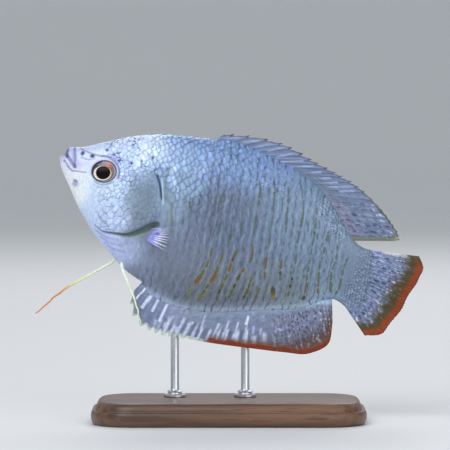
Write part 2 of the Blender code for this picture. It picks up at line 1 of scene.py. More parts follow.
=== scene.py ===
"""Looks of the dwarf gourami: one scaled skin, rayed fins, eyes, feelers and the stand.

The fish is drawn in its own frame, as in the part's source, in millimetres: x runs back from the snout,
z up to the back and y to its right side. place() takes such points into the scene, in metres. Marks that
are placed by what the photo shows are kept as named pixels of its frame, and in_fish() turns them into
x and z on the flank.
"""

import math

import bmesh
import bpy
import numpy as np
from mathutils import Matrix, Vector


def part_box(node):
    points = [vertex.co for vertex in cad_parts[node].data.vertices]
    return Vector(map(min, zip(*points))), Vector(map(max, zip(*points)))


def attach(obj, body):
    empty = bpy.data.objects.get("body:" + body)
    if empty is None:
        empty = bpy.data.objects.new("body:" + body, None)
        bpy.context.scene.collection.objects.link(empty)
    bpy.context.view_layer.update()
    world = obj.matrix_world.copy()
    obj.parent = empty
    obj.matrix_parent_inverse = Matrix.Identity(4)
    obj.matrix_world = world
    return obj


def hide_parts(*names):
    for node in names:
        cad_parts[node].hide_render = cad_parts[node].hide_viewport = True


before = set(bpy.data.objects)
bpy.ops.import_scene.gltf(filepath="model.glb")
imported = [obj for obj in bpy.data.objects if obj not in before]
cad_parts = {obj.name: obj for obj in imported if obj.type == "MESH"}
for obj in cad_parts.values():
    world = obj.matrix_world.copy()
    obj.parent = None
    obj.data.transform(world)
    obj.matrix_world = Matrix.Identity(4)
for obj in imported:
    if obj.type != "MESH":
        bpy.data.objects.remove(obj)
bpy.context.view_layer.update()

# The fish's pose over the stand, and its own sizes, which repeat the part's source
MM = 0.001
STANDARD_LENGTH = 66.5
NOSE_UP = 21.0
SNOUT_HEIGHT = 56.2
SNOUT_FORWARD = 35.4

# Body: x, back, belly, half width, level of the widest line, roundness of the upper and the lower half
BODY = (
    (-0.3, 0.15, -1.0, 1.0, -0.25, 0.80, 0.90),
    (0.2, 0.5, -1.6, 1.3, -0.3, 0.80, 0.92),
    (0.42, 1.3, -1.87, 1.42, -0.3, 0.80, 0.92),
    (0.6, 2.2, -2.07, 1.54, -0.3, 0.80, 0.92),
    (1.1, 2.6, -2.64, 1.79, -0.3, 0.80, 0.92),
    (3.4, 3.6, -4.95, 2.55, -0.4, 0.80, 0.95),
    (7.0, 6.0, -8.6, 3.65, -0.5, 0.82, 1.00),
    (11.5, 8.9, -12.25, 4.75, -0.8, 0.86, 1.05),
    (17.0, 11.7, -15.6, 5.65, -1.2, 0.95, 1.10),
    (22.0, 13.2, -17.9, 6.10, -1.8, 1.04, 1.12),
    (28.0, 14.8, -19.0, 6.20, -2.4, 1.14, 1.14),
    (33.0, 15.6, -19.6, 5.90, -2.4, 1.20, 1.14),
    (40.0, 15.6, -18.3, 5.15, -2.0, 1.20, 1.12),
    (47.0, 14.8, -15.5, 4.25, -1.4, 1.18, 1.10),
    (53.0, 13.1, -12.9, 3.30, -0.8, 1.12, 1.06),
    (58.0, 10.1, -10.7, 2.40, -0.8, 1.05, 1.02),
    (62.0, 6.9, -8.1, 1.75, -1.0, 1.00, 1.00),
    (66.5, 5.0, -7.8, 1.10, -1.4, 0.95, 0.95),
)
# Scaled flesh that runs out over the root of the tail fin
TAIL_ROOT = (
    (68.4, 5.1, -8.7, 0.62, -1.6, 0.95, 0.95),
    (70.6, 5.5, -10.1, 0.24, -1.9, 0.95, 0.95),
)
SKIN_END = 70.6
NOSE_ROUNDING = 1.0
TAIL_BULGE = 0.8

# Scaled sheaths along the roots of the dorsal and anal fins: first and last x, rise off the body, half width
BACK_SHEATH = (28.0, 65.0, 0.45, 0.8)
BELLY_SHEATH = (24.6, 65.0, 1.7, 0.8)

# Fins: the foot of a ray on the body, then its tip as x and z. The tail fin's feet are heights on its stem
DORSAL_RAYS = (
    (28.8, 29.9, 16.6),
    (33.0, 37.2, 18.6),
    (37.0, 43.4, 19.1),
    (42.0, 49.6, 18.2),
    (47.0, 55.4, 17.5),
    (52.0, 61.4, 16.3),
    (56.0, 66.4, 14.2),
    (60.0, 70.2, 11.9),
    (62.5, 72.4, 10.2),
    (64.4, 73.2, 8.9),
)
ANAL_RAYS = (
    (25.2, 24.0, -21.2),
    (26.8, 25.2, -24.6),
    (28.8, 27.6, -26.7),
    (32.2, 31.6, -27.3),
    (38.0, 36.9, -26.6),
    (44.4, 44.4, -25.3),
    (49.2, 52.0, -23.5),
    (53.0, 58.4, -21.9),
    (58.2, 64.3, -19.8),
    (61.6, 67.0, -16.4),
    (64.3, 66.2, -12.2),
)
CAUDAL_RAYS = (
    (4.7, 78.2, 7.6),
    (3.6, 79.9, 5.6),
    (2.2, 80.1, 3.4),
    (0.2, 79.5, 0.8),
    (-1.6, 79.1, -2.2),
    (-3.4, 78.6, -5.4),
    (-5.0, 77.6, -8.6),
    (-6.6, 76.1, -11.2),
    (-7.5, 73.6, -12.4),
)
DORSAL_RAY_COUNT = 23
ANAL_RAY_COUNT = 30
CAUDAL_RAY_COUNT = 20
PECTORAL_RAY_COUNT = 10
FIN_SINK = 0.9
WAVES = 1.6
WAVE_START = 0.15

# Breast fins: middle of the root on the flank, then each ray's share of the root, its angle and length
PECTORAL_X, PECTORAL_Z = 24.4, -8.5
PECTORAL_ROOT_HEIGHT = 2.8
PECTORAL_RAYS = (
    (0.0, 34.0, 10.5),
    (0.25, 27.0, 13.2),
    (0.5, 18.0, 12.8),
    (0.75, 2.0, 9.0),
    (1.0, -26.0, 5.2),
)
PECTORAL_OUT = 27.0
PECTORAL_ROOT_SINK = 1.2

# Feelers: points of the centre line
LEFT_FEELER = ((19.6, -0.7, -15.4), (20.2, -1.7, -17.0), (22.6, -2.7, -19.7), (25.2, -3.5, -22.5),
               (28.3, -4.1, -26.9))
RIGHT_FEELER = ((18.8, 0.7, -15.0), (18.0, 1.8, -16.8), (15.3, 3.2, -20.3), (10.0, 5.2, -27.0),
                (6.4, 6.4, -33.8))
FEELER_ROOT_RADIUS = 0.36
FEELER_TIP_RADIUS = 0.11

# Stand
BASE_LENGTH = 58.0
BASE_DEPTH = 30.0
BASE_HEIGHT = 5.0
BASE_CORNER = 9.0
ROD_RADIUS = 0.9
COLLAR_RADIUS = 2.4

# Camera: the photo's frame is 450 pixels across, and a pixel is so many millimetres on the middle plane
FRAME_PIXELS = 450
PIXEL = 0.2122
SNOUT_PIXEL = (62.0, 157.0)
CAMERA_DISTANCE = 700.0
CAMERA_RISE = 2.0
SENSOR = 36.0

# Lines on the head: the pixels they pass, depth of the relief and its width in millimetres,
# strength of the paint and its width in millimetres, and the paint's colour
HEAD_LINES = {
    "lip front": (((68.2, 147.4), (67.6, 151.5), (67.2, 156.5)), 0, 1, 0.95, 0.34, (58, 64, 92)),
    "lip light": (((71.4, 148.8), (71.6, 154.0), (72.4, 159.5)), 0.08, 0.25, 0.8, 0.26, (178, 180, 232)),
    "snout groove": (((74.6, 148.0), (74.9, 153.0), (75.0, 160.0), (74.9, 166.4)), -0.14, 0.26, 0.85, 0.3,
                     (104, 108, 146)),
    "snout light": (((77.6, 152.0), (78.0, 158.0), (78.4, 163.0)), 0.06, 0.3, 0.7, 0.3, (192, 188, 250)),
    # The mouth's line is a groove painted darker: painted shade in its crease
    "mouth": (((60.5, 153.5), (66.4, 155.4), (69.8, 159.4), (72.4, 163.4), (74.9, 167.2)), -0.3, 0.22, 0.6,
              0.36, (100, 104, 152)),
    "lower lip": (((66.8, 163.2), (68.2, 167.0), (70.6, 169.6), (77.3, 171.7), (85.6, 172.6)), -0.14, 0.16,
                  0.75, 0.18, (104, 114, 156)),
    "nostril line": (((80.6, 148.6), (85.8, 150.8), (94.8, 154.6), (102.0, 156.3)), -0.08, 0.15, 0.7, 0.16,
                     (88, 92, 146)),
    "nostril fold": (((81.0, 157.2), (88.0, 159.7), (94.9, 158.7)), -0.08, 0.14, 0.5, 0.15, (124, 134, 170)),
    "brow": (((102.6, 156.0), (108.0, 156.8), (112.6, 159.6), (118.8, 167.6), (119.4, 172.0), (118.4, 178.0)),
             -0.10, 0.2, 0.85, 0.24, (88, 88, 150)),
    "eye fold": (((94.6, 181.6), (98.4, 184.0), (103.6, 185.0), (113.6, 182.2)), -0.12, 0.14, 0.75, 0.15,
                 (98, 114, 142)),
    "second eye fold": (((93.4, 184.0), (98.6, 187.0), (108.0, 187.2)), -0.08, 0.13, 0.55, 0.14,
                        (134, 148, 178)),
    "jaw": (((98.0, 212.5), (99.4, 217.5), (103.4, 221.6), (107.0, 224.8)), -0.10, 0.16, 0.6, 0.16,
            (130, 140, 180)),
    "gill membrane": (((95.0, 225.0), (99.4, 229.0), (104.0, 231.8), (111.8, 233.4), (118.0, 234.4)),
                      -0.16, 0.18, 0.7, 0.2, (104, 108, 160)),
    # The corner at the top of the gill slit is painted darker: painted shade in the corner
    "slit corner": (((156.0, 170.6), (162.0, 169.4), (169.0, 169.6)), -0.06, 0.3, 0.6, 0.4, (86, 110, 150)),
    "green beside the slit": (((166.0, 174.0), (165.5, 198.0)), 0, 1, 0.6, 0.5, (104, 128, 122)),
    "light beside the slit": (((174.0, 166.0), (173.0, 186.0)), 0, 1, 0.5, 0.45, (190, 205, 245)),
    # The gill slit is a deep groove painted dark: painted shade in the slit
    "gill slit": (((155.4, 170.4), (157.4, 176.0), (159.2, 182.0), (160.6, 190.0), (161.6, 199.0)),
                  -0.45, 0.16, 1.0, 0.2, (40, 54, 92)),
    # A painted highlight along the low ridge beside the slit
    "painted glint by the slit": (((162.2, 179.0), (162.6, 190.0), (163.2, 204.0)), 0.04, 0.2, 0.75, 0.14, (206, 222, 246)),
    "olive mark": (((171.8, 204.0), (171.6, 218.0), (171.2, 231.0)), 0, 1, 0.8, 0.26, (104, 100, 60)),
    "breast fin's shadow": (((174.6, 225.2), (182.0, 221.0), (190.0, 216.4)), -0.05, 0.14, 0.55, 0.16,
                            (84, 102, 126)),
    "throat fold 1": (((97.0, 231.0), (106.0, 237.0), (118.0, 240.0)), -0.08, 0.2, 0.5, 0.2, (112, 118, 176)),
    "throat fold 2": (((101.0, 237.0), (110.0, 243.0), (122.0, 246.0)), -0.08, 0.2, 0.5, 0.2,
                      (112, 118, 176)),
    "throat fold 3": (((105.0, 243.0), (113.0, 249.0), (124.0, 252.0)), -0.08, 0.2, 0.5, 0.2,
                      (112, 118, 176)),
}
# Spots on the head: pixel, its two radii in pixels, relief in millimetres, strength and colour of the paint
HEAD_SPOTS = {
    "violet glow over the eye": (114.8, 158.6, 4.0, 2.6, 0, 0.8, (158, 144, 222)),
    "blotch on the jaw": (75.4, 183.4, 3.4, 3.8, 0, 0.8, (150, 146, 178)),
    "blotch's dark top": (75.4, 180.6, 2.6, 1.2, 0, 0.8, (110, 108, 150)),
    "chin shade": (64.8, 161.0, 1.8, 1.6, 0, 0.8, (124, 134, 170)),
    "lip lobe": (69.6, 163.8, 1.5, 2.6, 0.08, 0.7, (186, 196, 232)),
    "chin light": (63.6, 157.2, 2.6, 1.0, 0, 0.7, (168, 178, 222)),
    # The nostrils are deep pits painted near black: painted shade inside them
    "front nostril": (82.7, 153.0, 1.6, 2.2, -0.45, 1.0, (34, 40, 80)),
    "rear nostril": (92.4, 156.0, 2.1, 1.7, -0.45, 1.0, (30, 36, 74)),
    "orange over the eye": (109.0, 162.4, 2.6, 1.6, 0, 0.9, (206, 98, 44)),
    "pore 1": (85.8, 144.6, 1.2, 1.2, -0.1, 1.0, (36, 44, 84)),
    "pore 2": (107.2, 149.8, 1.5, 1.5, -0.1, 1.0, (36, 44, 84)),
    "pore 3": (114.4, 154.7, 1.6, 1.6, -0.1, 1.0, (36, 44, 84)),
    "pore 4": (119.3, 160.8, 1.5, 1.5, -0.1, 1.0, (36, 44, 84)),
    "pore 5": (131.7, 163.3, 1.5, 1.5, -0.1, 1.0, (36, 44, 84)),
    "pore 6": (142.0, 161.0, 1.4, 1.4, -0.1, 1.0, (36, 44, 84)),
    "pore 7": (152.7, 157.5, 1.5, 1.5, -0.1, 1.0, (36, 44, 84)),
}
# Rim of the gill cover from its top, round its rear, to its front,
# and the opening under it with half its height. The opening is painted dark: the gill membrane's colour,
# with painted shadow under the cover
COVER_EDGE = (
    (155.4, 170.4), (157.4, 176.0), (159.2, 182.0), (160.6, 190.0), (161.8, 199.0), (162.4, 208.0),
    (160.4, 216.0), (154.0, 221.8), (147.0, 225.0), (138.0, 229.4), (127.0, 232.2), (117.5, 232.6),
    (104.0, 231.4),
)
GILL_OPENING = (
    (104.0, 231.9, 0.5), (112.0, 233.3, 0.8), (118.0, 234.3, 1.2), (127.0, 235.4, 2.0), (136.0, 233.4, 2.6),
    (144.0, 230.4, 3.2), (150.0, 226.8, 3.6), (157.0, 224.6, 2.6),
)
# Where the painted shadow in the gill opening is darkest
GILL_SHADOW_DARKEST = (154.5, 228.0)

# Eye: middle of its opening as a pixel, half its width and height in millimetres along the photo's frame
EYE_PIXEL = (104.1, 171.5)
EYE_WIDTH, EYE_HEIGHT = 2.55, 2.22

# Dark lines down the flank: the pixels each passes, then its dashes, from one pixel row to another, with
# half their width in pixels and their ink
FLANK_LINES = (
    (((189.6, 198), (189.4, 210)), ((201.8, 207.5, 0.8, "olive"),)),
    (((220.9, 194), (218.0, 212), (217.2, 224), (213.0, 234), (211.5, 252), (202.0, 274), (191.2, 288.5),
      (186.0, 300)),
     ((195.6, 203.7, 0.8, "green"), (207, 212, 0.7, "green"), (217, 226.7, 0.7, "slate"),
      (230, 236, 0.6, "slate"), (249, 256, 0.9, "green"), (261, 267, 0.9, "olive"),
      (270.5, 276.5, 1.5, "olive"), (276.8, 283, 2.2, "rust"), (286, 291.5, 1.2, "lime"),
      (295, 299, 1.2, "lime"))),
    (((231.4, 222), (229.8, 239), (220.8, 260), (212.1, 280), (204.0, 291), (198.0, 300)),
     ((225.7, 235, 0.7, "green"), (235, 239, 1.5, "green"), (257, 263, 0.8, "olive"),
      (267, 273.5, 1.3, "olive"), (274.5, 282, 2.2, "rust"), (284.5, 289, 1.4, "olive"),
      (290.5, 293.5, 1.0, "dark"), (296, 300, 1.0, "lime"))),
    (((237.0, 250), (233.0, 259), (226.5, 277), (219.3, 292), (216.4, 300)),
     ((251, 256.5, 1.5, "olive"), (257.5, 261, 1.4, "dark"), (264, 271, 1.5, "rust"),
      (274.5, 280, 1.1, "olive"), (284, 288.5, 1.2, "olive"), (290, 293.5, 1.5, "dark"),
      (296, 299.5, 0.9, "olive"))),
    (((258.4, 178), (260.4, 190), (257.8, 206), (255.0, 226), (252.4, 240), (250.8, 260), (242.5, 271),
      (229.0, 297)),
     ((181.5, 198, 1.0, "green"), (199.5, 206, 0.7, "slate"), (215, 226, 0.8, "green"),
      (229, 236, 0.7, "slate"), (246, 256.5, 1.1, "rust"), (257.5, 262, 1.4, "olive"),
      (268.5, 272, 1.4, "rust"), (275, 280, 1.3, "dark"), (284, 288, 1.2, "dark"), (290, 293.5, 1.4, "green"),
      (295, 299, 0.9, "olive"))),
    (((274.0, 176), (274.4, 192), (272.6, 216), (270.4, 234), (267.8, 250), (266.0, 262), (264.5, 280)),
     ((179.5, 187, 1.0, "dark"), (188, 197, 1.1, "green"), (198.5, 206, 0.8, "slate"),
      (208, 216, 0.5, "slate"), (219, 227, 0.6, "slate"), (233, 244, 0.8, "green"), (257, 268.5, 1.2, "rust"),
      (272, 278.5, 1.2, "rust"))),
    (((254.0, 272), (250.4, 281), (247.2, 291), (243.0, 299)),
     ((277.5, 282, 1.0, "olive"), (283.5, 287.5, 1.2, "dark"), (289, 294, 1.7, "olive"),
      (295.5, 298.5, 1.1, "dark"))),
    (((260.0, 287), (255.4, 297.5)), ((288.5, 293.5, 1.1, "green"), (295, 298, 0.9, "green"))),
    (((272.6, 285), (273.3, 299)), ((287.2, 292.2, 1.9, "dark"), (292.2, 295.4, 1.9, "rust"),
                                    (296, 298.8, 1.6, "lime"))),
    (((288.8, 184), (287.3, 212), (285.6, 232), (282.4, 252), (280.6, 270), (279.8, 282)),
     ((188, 203, 0.8, "slate"), (207, 215, 0.8, "slate"), (216.5, 232, 0.8, "green"),
      (239.6, 245, 0.7, "green"), (259.5, 268.5, 1.1, "rust"), (271.5, 275.5, 1.4, "dark"),
      (276.5, 280.5, 1.0, "olive"))),
    (((300.4, 182), (303.0, 200), (303.2, 214), (300.6, 228), (297.4, 244), (295.6, 262), (291.4, 282),
      (287.6, 297)),
     ((185, 198, 0.7, "slate"), (201, 210, 0.8, "slate"), (212, 226, 1.1, "green"), (232, 243, 0.9, "green"),
      (254.8, 263.7, 0.9, "green"), (267.5, 273.5, 0.8, "slate"), (277.6, 280.6, 1.4, "dark"),
      (282, 284, 0.9, "green"), (285, 288, 1.5, "dark"), (291.5, 296, 0.9, "olive"))),
    (((317.2, 205), (315.6, 225), (313.4, 240), (310.2, 258), (306.8, 278), (305.2, 292), (302.5, 301)),
     ((208.5, 213.7, 0.7, "green"), (218, 221.8, 0.6, "slate"), (223, 228.4, 1.2, "green"),
      (231, 234.4, 1.2, "dark"), (235.5, 246, 0.9, "green"), (249, 255, 0.8, "green"),
      (258, 264, 0.8, "green"), (267, 272, 0.9, "green"), (275.5, 281, 1.0, "olive"),
      (283.5, 287.5, 1.2, "rust"), (289, 293, 0.9, "olive"), (296, 299.5, 1.8, "dark"))),
    (((328.8, 230), (326.4, 242), (322.8, 256), (319.6, 268), (318.4, 284), (317.6, 296)),
     ((231.4, 233.4, 1.1, "dark"), (235, 241, 1.1, "green"), (247.5, 253.5, 1.2, "green"),
      (256.5, 262, 0.7, "slate"), (264.5, 269, 0.9, "green"), (272, 281.8, 1.2, "olive"),
      (283, 286.5, 1.2, "rust"), (288.5, 293, 1.3, "rust"))),
    (((338.2, 243), (335.6, 260), (331.8, 272), (330.2, 292)),
     ((245.5, 250, 1.0, "slate"), (254, 259, 0.8, "green"), (262, 266, 0.9, "green"),
      (267, 269.4, 0.8, "dark"), (272.5, 280, 1.2, "green"), (281.5, 291.5, 1.2, "olive"))),
    (((348.4, 257), (344.0, 267), (341.0, 280), (339.2, 288), (335.2, 295)),
     ((258.5, 262, 0.9, "green"), (263.5, 267, 0.8, "green"), (269.5, 275, 0.9, "green"),
      (279, 289, 1.0, "olive"), (291, 294, 0.9, "dark"))),
    (((308.6, 220), (308.2, 234)), ((222, 233, 0.5, "slate"),)),
    (((293.3, 219), (292.0, 236)), ((221, 226, 0.6, "slate"), (231.5, 235.5, 0.6, "slate"))),
    (((242.6, 206), (240.4, 238)), ((209, 216, 0.5, "slate"), (222, 233, 0.5, "slate"))),
    (((206.4, 288), (204.6, 299)), ((291, 297, 1.0, "lime"),)),
)
INKS = {
    "slate": (74, 94, 110),
    "green": (72, 98, 78),
    "olive": (92, 96, 40),
    "rust": (132, 78, 30),
    "dark": (46, 54, 48),
    "lime": (150, 152, 84),
}


def pose_matrix():
    place_fish = Matrix.Translation(Vector((-SNOUT_FORWARD, 0.0, SNOUT_HEIGHT)) * MM)
    return place_fish @ Matrix.Rotation(math.radians(NOSE_UP), 4, "Y")


def place(points):
    """Takes points of the fish's frame, in millimetres, into the scene."""
    pose = np.array(pose_matrix())
    return np.asarray(points, float) @ (pose[:3, :3].T * MM) + pose[:3, 3]


def colour(red, green, blue):
    """A display colour from 0 to 255 as the linear values that shaders take."""
    share = np.array((red, green, blue), float) / 255
    return np.where(share <= 0.04045, share / 12.92, ((share + 0.055) / 1.055) ** 2.4)


def smooth_step(low, high, value):
    t = np.clip((value - low) / (high - low), 0, 1)
    return t * t * (3 - 2 * t)


def bell(distance, width=1.0):
    return np.exp(-((distance / width) ** 2))


def curve_through(knots, values, at):
    """A smooth curve through the values at the knots, read at the places asked for."""
    knots = np.asarray(knots, float)
    values = np.asarray(values, float)
    slopes = np.gradient(values, knots)
    at = np.clip(np.asarray(at, float), knots[0], knots[-1])
    i = np.clip(np.searchsorted(knots, at, side="right") - 1, 0, len(knots) - 2)
    width = knots[i + 1] - knots[i]
    t = (at - knots[i]) / width
    rise = values[i + 1] - values[i]
    first = slopes[i] * width - rise
    last = rise - slopes[i + 1] * width
    return values[i] + t * rise + t * (1 - t) * ((1 - t) * first + t * last)


def curve_of_points(points, count):
    """Points evenly spread along a smooth curve through the points given."""
    points = np.asarray(points, float)
    steps = np.linalg.norm(np.diff(points, axis=0), axis=1)
    along = np.concatenate([[0.0], np.cumsum(steps)])
    if len(points) == 2:
        return np.linspace(points[0], points[1], count)
    at = np.linspace(0, along[-1], count)
    return np.column_stack([curve_through(along, points[:, k], at) for k in range(points.shape[1])])


FAR = 99.0
LINE_STEPS = 26


def nearest(line, x, z, reach=FAR):
    """For places in the side view: distance from a smooth line, the same with its sign to the line's left,
    and the line's last column at the nearest point. Places out of reach are left FAR away."""
    points = curve_of_points(line, LINE_STEPS)
    low, high = points.min(axis=0) - reach, points.max(axis=0) + reach
    near = (x > low[0]) & (x < high[0]) & (z > low[1]) & (z < high[1])
    px, pz = x[near], z[near]
    best, left, value = np.full(px.shape, FAR), np.zeros(px.shape), np.zeros(px.shape)
    for first, second in zip(points, points[1:]):
        dx, dz = second[:2] - first[:2]
        t = np.clip(((px - first[0]) * dx + (pz - first[1]) * dz) / (dx * dx + dz * dz), 0, 1)
        away = np.hypot(px - first[0] - t * dx, pz - first[1] - t * dz)
        nearer = away < best
        best = np.where(nearer, away, best)
        left = np.where(nearer, np.sign(dx * (pz - first[1]) - dz * (px - first[0])), left)
        value = np.where(nearer, first[-1] + t * (second[-1] - first[-1]), value)
    away, signed, last = np.full(x.shape, FAR), np.zeros(x.shape), np.zeros(x.shape)
    away[near], signed[near], last[near] = best, best * left, value
    return away, signed, last


WOBBLE_WAVES = 7


def wobble(x, z, scale, seed):
    """A soft random pattern between about -1 and 1, from waves in seeded directions."""
    rng = np.random.default_rng(seed)
    total = np.zeros(np.broadcast(x, z).shape)
    for _ in range(WOBBLE_WAVES):
        turn, phase = rng.uniform(0, 2 * math.pi), rng.uniform(0, 2 * math.pi)
        stretch = rng.uniform(0.7, 1.6)
        total += np.sin((x * math.cos(turn) + z * math.sin(turn)) * 2 * math.pi * stretch / scale + phase)
    return total / (WOBBLE_WAVES / 2)


# The body's surface


def section(x):
    """Back, belly, half width, widest level and the two roundnesses of the body's section at x."""
    rows = np.asarray(BODY + TAIL_ROOT, float)
    back, belly, half, level, upper, lower = (curve_through(rows[:, 0], rows[:, k], x) for k in range(1, 7))
    short = np.clip((BODY[0][0] + NOSE_ROUNDING - x) / NOSE_ROUNDING, 0, 1)
    closing = np.sqrt(1 - short * short)
    back, belly = level + (back - level) * closing, level - (level - belly) * closing
    return back, belly, half * closing, level, upper, lower


def half_width(x, z):
    """Distance of the flank from the middle plane at a place in the side view."""
    back, belly, half, level, upper, lower = section(x)
    above = z > level
    rise = np.clip(np.abs(z - level) / np.where(above, back - level, level - belly), 0, 1)
    return half * np.sqrt(1 - rise ** 2) ** np.where(above, upper, lower)


def in_fish(pixels, middle=False):
    """x and z of places that the photo shows on the near flank, or on the middle plane. Each row starts
    with a pixel, and what follows it is kept."""
    rows = np.asarray(pixels, float)
    centre = FRAME_PIXELS / 2
    turn, tilt = math.radians(NOSE_UP), math.radians(CAMERA_RISE)
    depth = np.zeros(len(rows))
    for _ in range(1 if middle else 4):
        nearer = 1 - depth / CAMERA_DISTANCE
        right = (centre + (rows[:, 0] - centre) * nearer - SNOUT_PIXEL[0]) * PIXEL
        rise = (SNOUT_PIXEL[1] - centre - (rows[:, 1] - centre) * nearer) * PIXEL + depth * math.sin(tilt)
        x = right * math.cos(turn) - rise * math.sin(turn)
        z = right * math.sin(turn) + rise * math.cos(turn)
        depth = half_width(x, z)
    return np.column_stack([x, z, rows[:, 2:]])


def bare_points(x, angle):
    """Points of the plain body, with its sheaths. The angle is 0 on the right side and 90 on the back."""
    back, belly, half, level, upper, lower = section(x)
    rise, side = np.sin(angle), np.cos(angle)
    reach = np.where(rise > 0, back - level, level - belly)
    roundness = np.where(rise > 0, upper, lower)
    y = half * np.sign(side) * np.abs(side) ** roundness
    z = level + reach * rise
    for (first, last, height, width), way in ((BACK_SHEATH, 1), (BELLY_SHEATH, -1)):
        length = smooth_step(first, first + 3.5, x) * smooth_step(last, last - 5.0, x)
        z = z + way * height * length * bell(y, width) * (way * rise > 0)
    return np.stack(np.broadcast_arrays(x, y, z), axis=-1)


def bare_normals(x, angle):
    """Outward directions of the plain body, from small steps along and round it."""
    step = 1e-3
    inside = np.clip(x, BODY[0][0] + 0.02, SKIN_END - 0.02)
    along = bare_points(inside + step, angle) - bare_points(inside - step, angle)
    around = bare_points(inside, angle + step) - bare_points(inside, angle - step)
    normal = np.cross(around, along)
    length = np.linalg.norm(normal, axis=-1, keepdims=True)
    return normal / np.maximum(length, 1e-12)


def eye_axes(side):
    """The middle of the eye's opening on the head, and unit vectors out of the head, and level and upright
    in the photo's frame."""
    x, z = in_fish([EYE_PIXEL])[0]
    back, belly, _, level, _, _ = section(x)
    rise = (z - level) / (back - level if z > level else level - belly)
    angle = np.full(1, math.asin(rise))
    mirror = np.array((1.0, side, 1.0))
    middle = bare_points(np.full(1, x), angle)[0] * mirror
    out = bare_normals(np.full(1, x), angle)[0] * mirror
    turn = math.radians(NOSE_UP)
    upright = np.array((-math.sin(turn), 0.0, math.cos(turn)))
    upright -= out * (upright @ out)
    upright /= np.linalg.norm(upright)
    level_way = np.cross(upright, out) * -side
    return middle, out, level_way, upright


def eye_share(points, side):
    """Places as shares of the eye's opening, 1 on its rim, and how far above its middle, in mm."""
    middle, _, level_way, upright = eye_axes(side)
    offset = points - middle
    above = offset @ upright
    share = np.hypot(offset @ level_way / EYE_WIDTH, above / EYE_HEIGHT)
    return np.where(points[..., 1] * side > 0, share, FAR), above


HEAD_END = 25.0
NAPE_X, NAPE_Z = 15.6, 4.6
SKIN_INSET = 0.12


def inside_cover(x, z):
    """How far inside the rim of the gill cover a place lies, in millimetres, and below zero outside it."""
    return -nearest(in_fish(COVER_EDGE), x, z)[1]


def gill_gap(x, z):
    """How far a place lies outside the dark opening under the gill cover, in millimetres."""
    away, _, half = nearest(in_fish(GILL_OPENING), x, z)
    return away - half * PIXEL


def plated(x, z):
    """Where the head carries plates, from 0 to 1."""
    front = np.where(z > 1.8, smooth_step(7.0, 10.5, x), smooth_step(8.6, 10.6, x + 0.45 * (z + 5)))
    rear = np.where(z > NAPE_Z, smooth_step(NAPE_X + 0.5, NAPE_X - 0.5, x),
                    smooth_step(0.1, 0.4, inside_cover(x, z)))
    eye_x, eye_z = in_fish([EYE_PIXEL])[0]
    orbit = smooth_step(EYE_WIDTH + 0.75, EYE_WIDTH + 1.2, np.hypot(x - eye_x, z - eye_z))
    return front * rear * orbit * (x < HEAD_END)


def scaled(x, z):
    """Where the body carries scales, from 0 to 1."""
    behind = smooth_step(0.5, 1.2, -inside_cover(x, z)) * smooth_step(12.0, 16.5, x + 0.3 * (z + 10))
    strip = smooth_step(1.5, 2.2, -inside_cover(x, z)) + smooth_step(-6.0, -8.0, z)
    nape = smooth_step(NAPE_X - 0.4, NAPE_X + 0.4, x)
    return np.where(z > NAPE_Z, nape, behind * np.clip(strip, 0, 1) * smooth_step(1.2, 1.6, gill_gap(x, z)))


# Lips over and under the mouth's line: their rise, place off the line and width
LIPS = ((0.22, -0.62, 0.38), (0.12, 0.55, 0.36))
# Round an eye, as rises, places in shares of its opening and widths
EYE_LID = (0.14, 1.12, 0.09)
EYE_FOLD = (0.07, 1.26, 0.06)
EYE_WELL = 1.5
COVER_SWELL = 0.28
GILL_DEPTH = 0.42


def relief(points):
    """How far the skin stands off the plain body, in millimetres."""
    x, y, z = np.moveaxis(points, -1, 0)
    height = np.full(np.shape(x), -SKIN_INSET)
    head = x < HEAD_END + 5
    spots = points[head]
    x, y, z = x[head], y[head], z[head]
    h = -SKIN_INSET * np.maximum(scaled(x, z), 0.9 * plated(x, z))

    mouth = in_fish(HEAD_LINES["mouth"][0])
    _, left, _ = nearest(mouth, x, z, 4.0)
    lips = smooth_step(4.0, 3.2, x)
    for rise, place, width in LIPS:
        h += lips * rise * bell(left - place, width) * smooth_step(0, math.copysign(0.2, place), left)
    for line, depth, width, *_ in HEAD_LINES.values():
        if depth:
            h += depth * bell(nearest(in_fish(line), x, z, 3 * width)[0], width)
    for px, py, across, up, depth, *_ in HEAD_SPOTS.values():
        if depth:
            sx, sz = in_fish([(px, py)])[0]
            h += depth * bell((np.hypot((x - sx) / across, (z - sz) / up) / PIXEL) ** 1.6)

    for side in (-1, 1):
        share, above = eye_share(spots, side)
        lower = smooth_step(1.0, -1.0, above)
        h -= EYE_WELL * smooth_step(1.03, 0.88, share)
        h += EYE_LID[0] * bell(share - EYE_LID[1], EYE_LID[2])
        h -= EYE_FOLD[0] * lower * bell(share - EYE_FOLD[1], EYE_FOLD[2])

    inner = inside_cover(x, z)
    swell = smooth_step(11.5, 15.0, x) * COVER_SWELL * smooth_step(5.0, 0.5, inner)
    h += swell * smooth_step(0, 0.22, inner) * (z < NAPE_Z)
    h -= GILL_DEPTH * smooth_step(0.18, -0.25, gill_gap(x, z)) * smooth_step(0.05, -0.05, inner)
    height[head] = h
    return height


def skin_points(x, angle, lift=0.0):
    """Points of the skin with its relief, lifted off it where that is asked for."""
    bare = bare_points(x, angle)
    return bare + bare_normals(x, angle) * (relief(bare) + lift)[..., None]


# Materials


def new_material(name):
    material = bpy.data.materials.new(name)
    material.use_nodes = True
    tree = material.node_tree
    return material, tree, tree.nodes["Principled BSDF"]


def node(tree, kind, inputs=None, **settings):
    """A new shader node. Inputs take a value or another node's output socket."""
    made = tree.nodes.new("ShaderNode" + kind)
    for key, value in settings.items():
        setattr(made, key, value)
    for key, value in (inputs or {}).items():
        if isinstance(value, bpy.types.NodeSocket):
            tree.links.new(value, made.inputs[key])
        else:
            made.inputs[key].default_value = value
    return made


